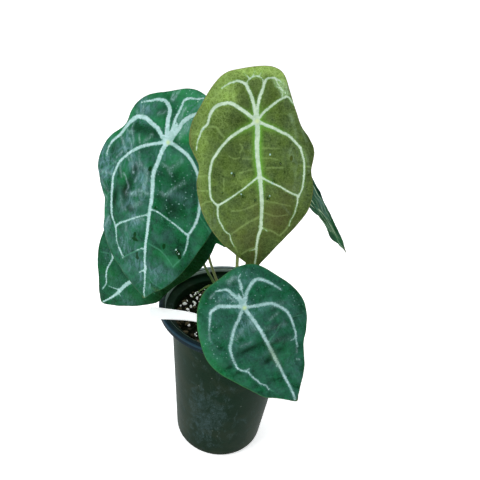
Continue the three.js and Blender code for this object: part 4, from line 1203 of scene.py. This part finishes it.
def potSkin(name, dark, light, dust, dustShare, gloss):
    material, tree, shader, place = solidMaterial(name)
    parts = put(tree, "ShaderNodeSeparateXYZ", {0: place})
    height = parts.outputs[2]
    wearAndLight = potWearAndLight
    back = ramp(tree, parts.outputs[1], *wearAndLight["back"])
    reach = vectors(tree, "LENGTH", stretchPlace(tree, place, (1.0, 1.0, 0.0)), output="Value")
    short = stretchPlace(tree, place, (1.0, 1.0, wearAndLight["shorten"]))
    away = vectors(tree, "DISTANCE", short, wearAndLight["smudge"], output="Value")
    smear = noise(tree, stretchPlace(tree, place, (1.0, 1.0, 0.6)), 0.09, 6, 0.8, 0.68)
    fine = noise(tree, place, 1.1, 4, 0.4, 0.7)
    rings = noise(tree, stretchPlace(tree, place, (0.02, 0.02, 1.0)), 0.9, 2)

    # The collar's inner face near the top is lighter, partly wear and dust and partly a painted highlight
    # that grows towards the back.
    step = scaled(tree, back, wearAndLight["wearAndHighlightRise"], wearAndLight["wearAndHighlightHeight"])
    above = ramp(tree, height, step, sums(tree, "ADD", step, wearAndLight["wearAndHighlightFade"]))
    wearAndHighlight = times(tree, ramp(tree, reach, *wearAndLight["wearAndHighlightMouth"]), above)
    wearAndHighlightTone = blend(tree, back, tone(140, 158, 156), tone(186, 204, 198))
    # Below the mouth the inside is darkened: dirt and painted shade.
    inner = times(tree, ramp(tree, reach, *wearAndLight["mouth"]), scaled(tree, wearAndHighlight, -1.0, 1.0))
    # The lip is lighter towards the back, a painted highlight, and a painted bluish reflection runs along
    # its top edge.
    lipTone = blend(tree, back, tone(12, 30, 38), tone(114, 132, 132))
    paintedLipGlint = times(tree, ramp(tree, reach, *wearAndLight["paintedLipGlint"]), ramp(tree, height, *wearAndLight["paintedLipGlintHeight"]))
    handled = ramp(tree, away, *wearAndLight["handled"], -0.03, 0.17)
    dusty = times(tree, ramp(tree, sums(tree, "ADD", smear, handled), 0.5, 0.68),
                  scaled(tree, mottle(tree, place, 5.0, 4.0), 0.7, 0.3))
    speckled = ramp(tree, fine, 0.38, 0.68)
    dusty = times(tree, dusty, scaled(tree, speckled, 0.9, 0.2, clamp=True))
    earthy = ramp(tree, noise(tree, place, 0.035, 3, 0.5), 0.46, 0.64)
    colour = layers(
        tree, blend(tree, mottle(tree, place, 24.0, 3.6), dark, light), (wearAndHighlight, 0.85, wearAndHighlightTone),
        (inner, 0.8, tone(4, 34, 14)), (ramp(tree, reach, *wearAndLight["lip"]), 1.0, lipTone),
        (paintedLipGlint, 0.5, tone(48, 80, 98)), (dusty, dustShare, dust), (earthy, 0.25, tone(44, 50, 32)),
        (speckled, 0.05, tone(104, 116, 108)),
        (specks(tree, place, 7.0, 0.9, 0.35), 0.4, tone(110, 118, 110)),
        (ramp(tree, height, *wearAndLight["foot"]), 0.35, tone(52, 50, 40)))
    rough = scaled(tree, dusty, 0.25, scaled(tree, fine, 0.2, 0.36))
    dress(tree, shader, colour, rough, scaled(tree, rings, 0.4, times(tree, fine, 0.35)), 0.35, 0.45, gloss)
    return material


def makePot():
    form = potForm
    top = form["height"]
    ledge = top - form["collarDepth"]
    insideLip = form["rim"] - form["lipWall"]
    corners = [  # radius and height, and how much each corner is rounded
        ((0, 0), 0), ((form["base"], 0), form["rounding"]), ((form["wallTop"], ledge - 1.8), 1.2),
        ((form["collar"], ledge - 0.8), 0.9), ((form["collar"], top - form["lipWall"]), 0.6),
        ((insideLip, top - form["lipWall"]), 0.6), ((insideLip, top - form["lipDepth"]), 0.5),
        ((form["rim"] - 0.4, top - form["lipDepth"]), 0.5), ((form["rim"], top), 1.3),
        ((form["collar"] - form["wall"], top), 1.1), ((form["collar"] - form["wall"], ledge + 0.8), 1.0),
        ((form["wallTop"] - form["wall"], ledge), 1.2),
        ((form["base"] - form["wall"], form["floor"]), 4.0), ((0, form["floor"]), 0),
    ]
    body = np.vstack([rounded(corner, corners[number][0], corners[number + 2][0], radius)
                      for number, (corner, radius) in enumerate(corners[1:-1])])
    count = form["segments"]
    angles = roundAngles(count)
    rings = [np.column_stack([r * np.cos(angles), r * np.sin(angles), np.full(count, z)]) for r, z in body]
    vertices = np.vstack(rings + [[[0, 0, 0]], [[0, 0, form["floor"]]]])
    index, quads = ringFaces(len(body), count)
    under, inner = len(body) * count, len(body) * count + 1
    fans = [(under, b, a) for a, b in zip(index[0], np.roll(index[0], -1))]
    fans += [(inner, a, b) for a, b in zip(index[-1], np.roll(index[-1], -1))]
    # The inside copy of the plastic is darker: dirt and painted shade.
    skins = [potSkin("pot plastic", tone(2, 24, 18), tone(10, 38, 32), tone(82, 104, 108), 0.55, 0.03),
             potSkin("pot inside", tone(4, 12, 6), tone(12, 22, 14), tone(34, 46, 40), 0.2, 0.02)]
    inside = [int(z > 1 and r < wallRadius(z) - 0.9) for r, z in (body[:-1] + body[1:]) / 2]
    faceMaterials = np.repeat(inside + [0, 1], count)
    pot = meshPiece("pot_shell", vertices, quads + fans, skins, True, faceMaterials)
    drillHoles(pot)
    pot.data.polygons.foreach_set("use_smooth", np.full(len(pot.data.polygons), True))
    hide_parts("pot")


def drillHoles(pot):
    form, sides = potForm, potForm["holeSides"]
    angles = roundAngles(sides)
    vertices, faces = [], []
    for number in range(form["holes"]):
        turn = (number + 0.5) * circle / form["holes"]
        ring = np.column_stack([form["holeRing"] * math.cos(turn) + form["holeRadius"] * np.cos(angles),
                                form["holeRing"] * math.sin(turn) + form["holeRadius"] * np.sin(angles)])
        for height in (-2, form["floor"] + 2):
            vertices.append(np.column_stack([ring, np.full(sides, height)]))
        index = np.arange(sides) + number * 2 * sides
        faces += strip(index, index + sides) + [index[::-1].tolist(), (index + sides).tolist()]
    bits = plainMesh("drill bits", np.vstack(vertices), faces)
    cut = pot.modifiers.new("drain holes", "BOOLEAN")
    cut.operation = "DIFFERENCE"
    cut.solver = "EXACT"
    cut.object = bits
    bpy.context.view_layer.update()
    drilled = bpy.data.meshes.new_from_object(pot.evaluated_get(bpy.context.evaluated_depsgraph_get()))
    pot.modifiers.clear()
    pot.data = drilled
    bpy.data.objects.remove(bits)


makePot()
print("pot made")


# Potting mix

mixForm = {"level": 167, "roughness": 1.3, "gap": 0.1, "across": 92, "seed": 5, "foot": 9.0,
           "underFoot": 0.4, "footInset": 5.5, "mound": 2.2, "moundWidth": 5,
           "ripples": [(0.7, 9, 12), (0.45, 3.6, 24), (0.28, 1.8, 24)]}  # height, size and waves

mixGrains = {  # placed ones are (x, y, radius)
    "crumbs": {"count": 1500, "size": (0.5, 1.5), "seed": 31, "flatness": 0.7, "level": 1, "glow": 0.0,
               "dark": tone(8, 12, 6), "light": tone(38, 42, 24), "placed": []},
    "bark": {"count": 200, "size": (1.2, 3.6), "seed": 32, "flatness": 0.42, "level": 2, "glow": 0.0,
             "dark": tone(22, 22, 13), "light": tone(118, 108, 80),
             "placed": [(-38.6, -40.1, 2.6), (-34.3, -45.7, 2.4), (-58.0, -22.0, 2.2), (-54.8, -29.5, 2.4)]},
    "perlite": {"count": 130, "size": (0.7, 1.7), "seed": 33, "flatness": 0.8, "level": 2, "glow": 0.3,
                "dark": tone(232, 236, 232), "light": tone(254, 254, 252),
                "placed": [(-56.6, 11.4, 2.3), (-52.0, 30.8, 2.0), (-44.2, 27.3, 1.9), (-45.1, 39.9, 1.8),
                           (-41.6, 34.2, 1.9), (-48.3, 8.1, 2.0), (-46.7, 19.1, 1.8), (-51.0, 1.7, 1.9),
                           (-60.4, 7.4, 1.7), (-37.0, 12.0, 1.6), (-40.0, 20.0, 1.8), (-55.0, 20.0, 1.4)]},
}
grainForm = {  # pairs are the least and the spread
    "bumpy": 0.25, "dentPace": 2.2, "rough": 0.12, "sink": 0.25, "raised": 0.5, "tilt": 0.35,
    "mostlySmall": 2.2, "wide": (0.55, 0.4), "tall": (0.7, 0.6), "roughness": 0.9, "scale": 2.2,
    "relief": 0.4, "clear": 1.5,  # clear of the crown and of the wall
}


def mixHeight(x, y):
    swell = np.sin(x * 0.11 + 1.3) * np.cos(y * 0.13 - 0.4)
    grit = np.sin(x * 0.47 + y * 0.31) * np.sin(y * 0.53 - x * 0.22 + 2)
    return mixForm["level"] + mixForm["roughness"] * (0.6 * swell + 0.5 * grit)


def earthSkin():
    material, tree, shader, place = solidMaterial("potting mix")
    crumbs = noise(tree, place, 0.8, 6, 0.5, 0.7)
    colour = layers(
        tree, blend(tree, mottle(tree, place, 7.0, 2.6), tone(7, 11, 5), tone(22, 28, 14)),
        (ramp(tree, crumbs, 0.5, 0.75), 0.6, tone(50, 54, 32)),
        (specks(tree, place, 2.6, 0.6, 0.3), 0.5, tone(120, 110, 84)))
    dress(tree, shader, colour, 0.95, crumbs, 1.2, 1.0, 0.05)
    return material


def makeMix():
    across, seed = mixForm["across"], mixForm["seed"]
    inset = potForm["wall"] + mixForm["gap"]
    radius = wallRadius(mixForm["level"]) - inset
    turns = -math.pi / 2 - roundAngles(8 * across)
    rim = np.column_stack([radius * np.cos(turns), radius * np.sin(turns)])
    x, y = gridPlaces(rim, (0, 0), across, across)
    z = mixHeight(x, y)
    for number, (height, size, waves) in enumerate(mixForm["ripples"]):
        z += height * ripples(x, y, size, seed + number, waves)
    fromCrown = np.hypot(x - crownForm["x"], y - crownForm["y"])
    z += mixForm["mound"] * np.exp(-((fromCrown - crownForm["radius"]) / mixForm["moundWidth"]) ** 2)
    quads, loop = gridFaces(across, across)
    outward = unit(np.column_stack([x, y])[loop])
    foot, low = mixForm["foot"], potForm["floor"] + mixForm["underFoot"]
    footReach = wallRadius(foot) - inset
    rings = [np.column_stack([outward * reach, np.full(len(loop), height)])
             for reach, height in ((footReach, foot), (footReach - mixForm["footInset"], low))]
    vertices = np.vstack([np.column_stack([x, y, z]), *rings, [[0, 0, low]]])
    first = np.arange(len(loop)) + len(x)
    second = first + len(loop)
    last = len(vertices) - 1
    faces = quads.tolist() + strip(loop, first) + strip(first, second)
    faces += [(last, b, a) for a, b in zip(np.roll(second, -1), second)]
    piece = meshPiece("mix_bed", vertices, faces, [earthSkin()])
    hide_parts("soil")
    return radius


def grainSkin(name, grain):
    material, tree, shader, place = solidMaterial(name)
    dark = grain["dark"]
    rough = noise(tree, place, 1.0 / grainForm["scale"], 5, 0.8, 0.65)
    colour = layers(tree, blend(tree, column(tree, "shade"), dark, grain["light"]),
                    (rough, 0.4, tuple(0.35 * value for value in dark)))
    dress(tree, shader, colour, grainForm["roughness"], rough, grainForm["relief"], 0.8, 0.12)
    # Emission here is painted light: the perlite glows a little so that it stays white in the pot's shade;
    # the other grains have none.
    feed(tree, shader, {"Emission Color": colour, "Emission Strength": grain["glow"]})
    return material


def scatterPlaces(count, radius, seed):
    random = np.random.default_rng(seed)
    places = []
    while len(places) < count:
        turn, reach = random.random() * circle, radius * math.sqrt(random.random())
        x, y = reach * math.cos(turn), reach * math.sin(turn)
        if math.hypot(x - crownForm["x"], y - crownForm["y"]) > crownForm["radius"] + grainForm["clear"]:
            places.append((x, y))
    return places


def makeGrains(name, grain, radius):  # many rough grains in one piece, each a squashed and dented ball
    count, seed, flatness = grain["count"], grain["seed"], grain["flatness"]
    low, high = grain["size"]
    draws = np.random.default_rng(seed + 100).random(count) ** grainForm["mostlySmall"]
    sizes = [spot[2] for spot in grain["placed"]] + (low + (high - low) * draws).tolist()
    places = [spot[:2] for spot in grain["placed"]]
    places += scatterPlaces(count, radius - grainForm["clear"], seed)
    random = np.random.default_rng(seed + 7)
    ball, ballFaces = ballShape(grain["level"])
    vertices, faces, shades = [], [], []
    for number, ((x, y), size) in enumerate(zip(places, sizes)):
        dents = random.normal(0, 1, (3, 4))
        waves = np.sin(ball @ dents[:, :3] * grainForm["dentPace"] + dents[:, 3]).mean(axis=1)
        form = ball * (1 + grainForm["bumpy"] * waves)[:, None]
        form = form * (1 + grainForm["rough"] * random.normal(0, 1, len(ball)))[:, None]
        wide, tall = [least + spread * random.random()
                      for least, spread in (grainForm["wide"], grainForm["tall"])]
        form = form * size * np.array([1.0, wide, tall * flatness])
        spin, tilt = random.random() * circle, random.normal(0, grainForm["tilt"])
        turn = np.array(Matrix.Rotation(spin, 3, "Z") @ Matrix.Rotation(tilt, 3, "X"))
        height = size * flatness * (1 - 2 * grainForm["sink"])
        lift = mixHeight(np.array(x), np.array(y)) + height + grainForm["raised"]
        vertices.append(form @ turn.T + [x, y, lift])
        faces.append(ballFaces + number * len(ball))
        shades.append(np.full(len(ball), random.random()))
    piece = meshPiece(f"mix_{name}", np.vstack(vertices), np.vstack(faces), [grainSkin(name, grain)],
                      smoothed=False, rows={"shade": np.concatenate(shades)})


mixRadius = makeMix()
for grainName, grain in mixGrains.items():
    makeGrains(grainName, grain, mixRadius)
print("potting mix made")


# Plant label: its middle line, and its half width at lengths along it

labelForm = {
    "thickness": 0.7, "corner": 3.0, "cup": 0.35, "columns": 17, "rows": 120,
    "halfWidths": [(0, 9), (14, 9), (60, 6.3), (78, 5.6), (97, 1.5)],
    "line": [(-86, -39, 190.2), (-74, -37, 188.8), (-60, -34.5, 187.0), (-46, -31.5, 184.4),
             (-34, -29, 180.4), (-24, -27, 173.0), (-17, -26, 162.0), (-13, -25.5, 151.0)],
}


def labelSkin():
    material, tree, shader, place = solidMaterial("label plastic")
    fine = noise(tree, place, 1.6, 3)
    height = put(tree, "ShaderNodeSeparateXYZ", {0: place}).outputs[2]
    clean = blend(tree, mottle(tree, place, 11.0, 1.6), tone(240, 246, 250), tone(252, 253, 255))
    colour = layers(tree, clean, (ramp(tree, height, 174.0, 167.0), fine, tone(110, 94, 70)))
    dress(tree, shader, colour, scaled(tree, fine, 0.15, 0.38), fine, 0.05, 0.4)
    # A faint glow, painted light, lifts the label out of the shade of the leaves above it.
    feed(tree, shader, {"Emission Color": (1.0, 0.99, 0.98), "Emission Strength": 0.4})
    return material


def makeLabel():
    form, corner = labelForm, labelForm["corner"]
    rows, columns = form["rows"], form["columns"]
    points = evenly(splinePoints(form["line"], centripetal=True), rows)
    run = runLength(points)
    plain = np.interp(run, *zip(*form["halfWidths"]))
    left = np.clip(corner - run, 0, None)
    half = plain - (corner - np.sqrt(corner ** 2 - left ** 2))
    along = unit(np.gradient(points, axis=0))
    side = unit(np.column_stack([-along[:, 1], along[:, 0], np.zeros(rows)]))
    up = np.cross(along, side)
    share = np.linspace(-1, 1, columns)
    middle = points + side * (form["halfWidths"][0][1] - plain)[:, None]
    grid = middle[:, None] + side[:, None] * (half[:, None] * share)[:, :, None]
    grid = grid + up[:, None] * (form["cup"] * (1 - share ** 2))[None, :, None]
    vertices = np.vstack([(grid + up[:, None] * offset).reshape(-1, 3)
                          for offset in (form["thickness"] / 2, -form["thickness"] / 2)])
    index = np.arange(rows * columns).reshape(rows, columns)
    quads, border, size = sheetQuads(index), sheetBorder(index), index.size
    faces = quads.tolist() + (quads[:, ::-1] + size).tolist() + strip(border, border + size)
    piece = meshPiece("label_strip", vertices, faces, [labelSkin()])
    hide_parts("label")


makeLabel()
print("label made")


# Camera, floor and light: the camera's place is in millimetres, the floor and the lamps in metres

camera = {"place": (0, -414, 482), "pitch": 27.4, "yaw": -0.3, "roll": 7.4, "lens": 33.75, "sensor": 36}
floorForm = {"width": 8.0, "front": -4.0, "back": 3.0, "bend": 1.5, "tall": 4.0, "below": 0.0002}
lights = {
    "key": {"place": (-1.5, -1.0, 1.9), "size": 1.0, "power": 33, "colour": (0.96, 0.985, 1.0)},
    "fill": {"place": (1.4, -1.3, 1.0), "size": 1.6, "power": 5, "colour": (1.0, 1.0, 1.0)},
    "top": {"place": (-0.1, 0.5, 1.9), "size": 1.4, "power": 12, "colour": (0.97, 0.99, 1.0)},
}
lampAim = (0, 0, 0.25)
sky = {"low": (0.36, 0.37, 0.38), "high": (0.80, 0.84, 0.88), "strength": 0.42}


def makeCamera():
    pitch, yaw, roll = [math.radians(camera[key]) for key in ("pitch", "yaw", "roll")]
    look = Vector((math.sin(yaw) * math.cos(pitch), math.cos(yaw) * math.cos(pitch), -math.sin(pitch)))
    side = look.cross(Vector((0, 0, 1))).normalized()
    up = side.cross(look)
    tiltedSide = side * math.cos(roll) + up * math.sin(roll)
    tiltedUp = up * math.cos(roll) - side * math.sin(roll)
    data = bpy.data.cameras.new("camera")
    data.lens = camera["lens"]
    data.sensor_width = camera["sensor"]
    data.clip_end = 50
    eye = bpy.data.objects.new("camera", data)
    turn = Matrix((tiltedSide, tiltedUp, -look)).transposed().to_4x4()
    eye.matrix_world = Matrix.Translation(Vector(camera["place"]) * mm) @ turn
    bpy.context.collection.objects.link(eye)
    bpy.context.scene.camera = eye


def makeFloor():
    material, tree, shader = newMaterial("floor")
    own = put(tree, "ShaderNodeTexCoord").outputs["Object"]
    colour = blend(tree, noise(tree, own, 0.8, 2), (0.93, 0.93, 0.935), (0.95, 0.95, 0.95))
    feed(tree, shader, {"Base Color": colour, "Roughness": 0.9, "Specular IOR Level": 0.1,
                        "Emission Color": (1, 1, 1), "Emission Strength": 0.62})
    form = floorForm
    back, bend, half = form["back"], form["bend"], form["width"] / 2
    profile = [(form["front"], 0.0), (back, 0.0)]
    profile += [(back + bend * math.sin(angle), bend * (1 - math.cos(angle)))
                for angle in np.linspace(0.1, math.pi / 2, 16)]
    profile.append((back + bend, form["tall"]))
    vertices = [(x, y, z - form["below"]) for y, z in profile for x in (-half, half)]
    faces = [(2 * i, 2 * i + 1, 2 * i + 3, 2 * i + 2) for i in range(len(profile) - 1)]
    floor = plainMesh("floor", np.array(vertices) / mm, faces, [material])


def makeLights():
    for name, light in lights.items():
        data = bpy.data.lights.new(name, "AREA")
        data.shape = "SQUARE"
        data.size = light["size"]
        data.energy = light["power"]
        data.color = light["colour"]
        lamp = bpy.data.objects.new(name, data)
        lamp.location = light["place"]
        aim = Vector(lampAim) - lamp.location
        lamp.rotation_euler = aim.to_track_quat("-Z", "Y").to_euler()
        bpy.context.collection.objects.link(lamp)
    world = bpy.data.worlds.new("studio")
    world.use_nodes = True
    tree = world.node_tree
    rise = put(tree, "ShaderNodeSeparateXYZ", {0: put(tree, "ShaderNodeTexCoord").outputs["Generated"]})
    shade = blend(tree, ramp(tree, rise.outputs[2], 0.0, 0.8), sky["low"], sky["high"])
    feed(tree, tree.nodes["Background"], {"Color": shade, "Strength": sky["strength"]})
    bpy.context.scene.world = world
    bpy.context.scene.view_settings.view_transform = "Standard"


makeCamera()
makeFloor()
makeLights()
print("stage made")
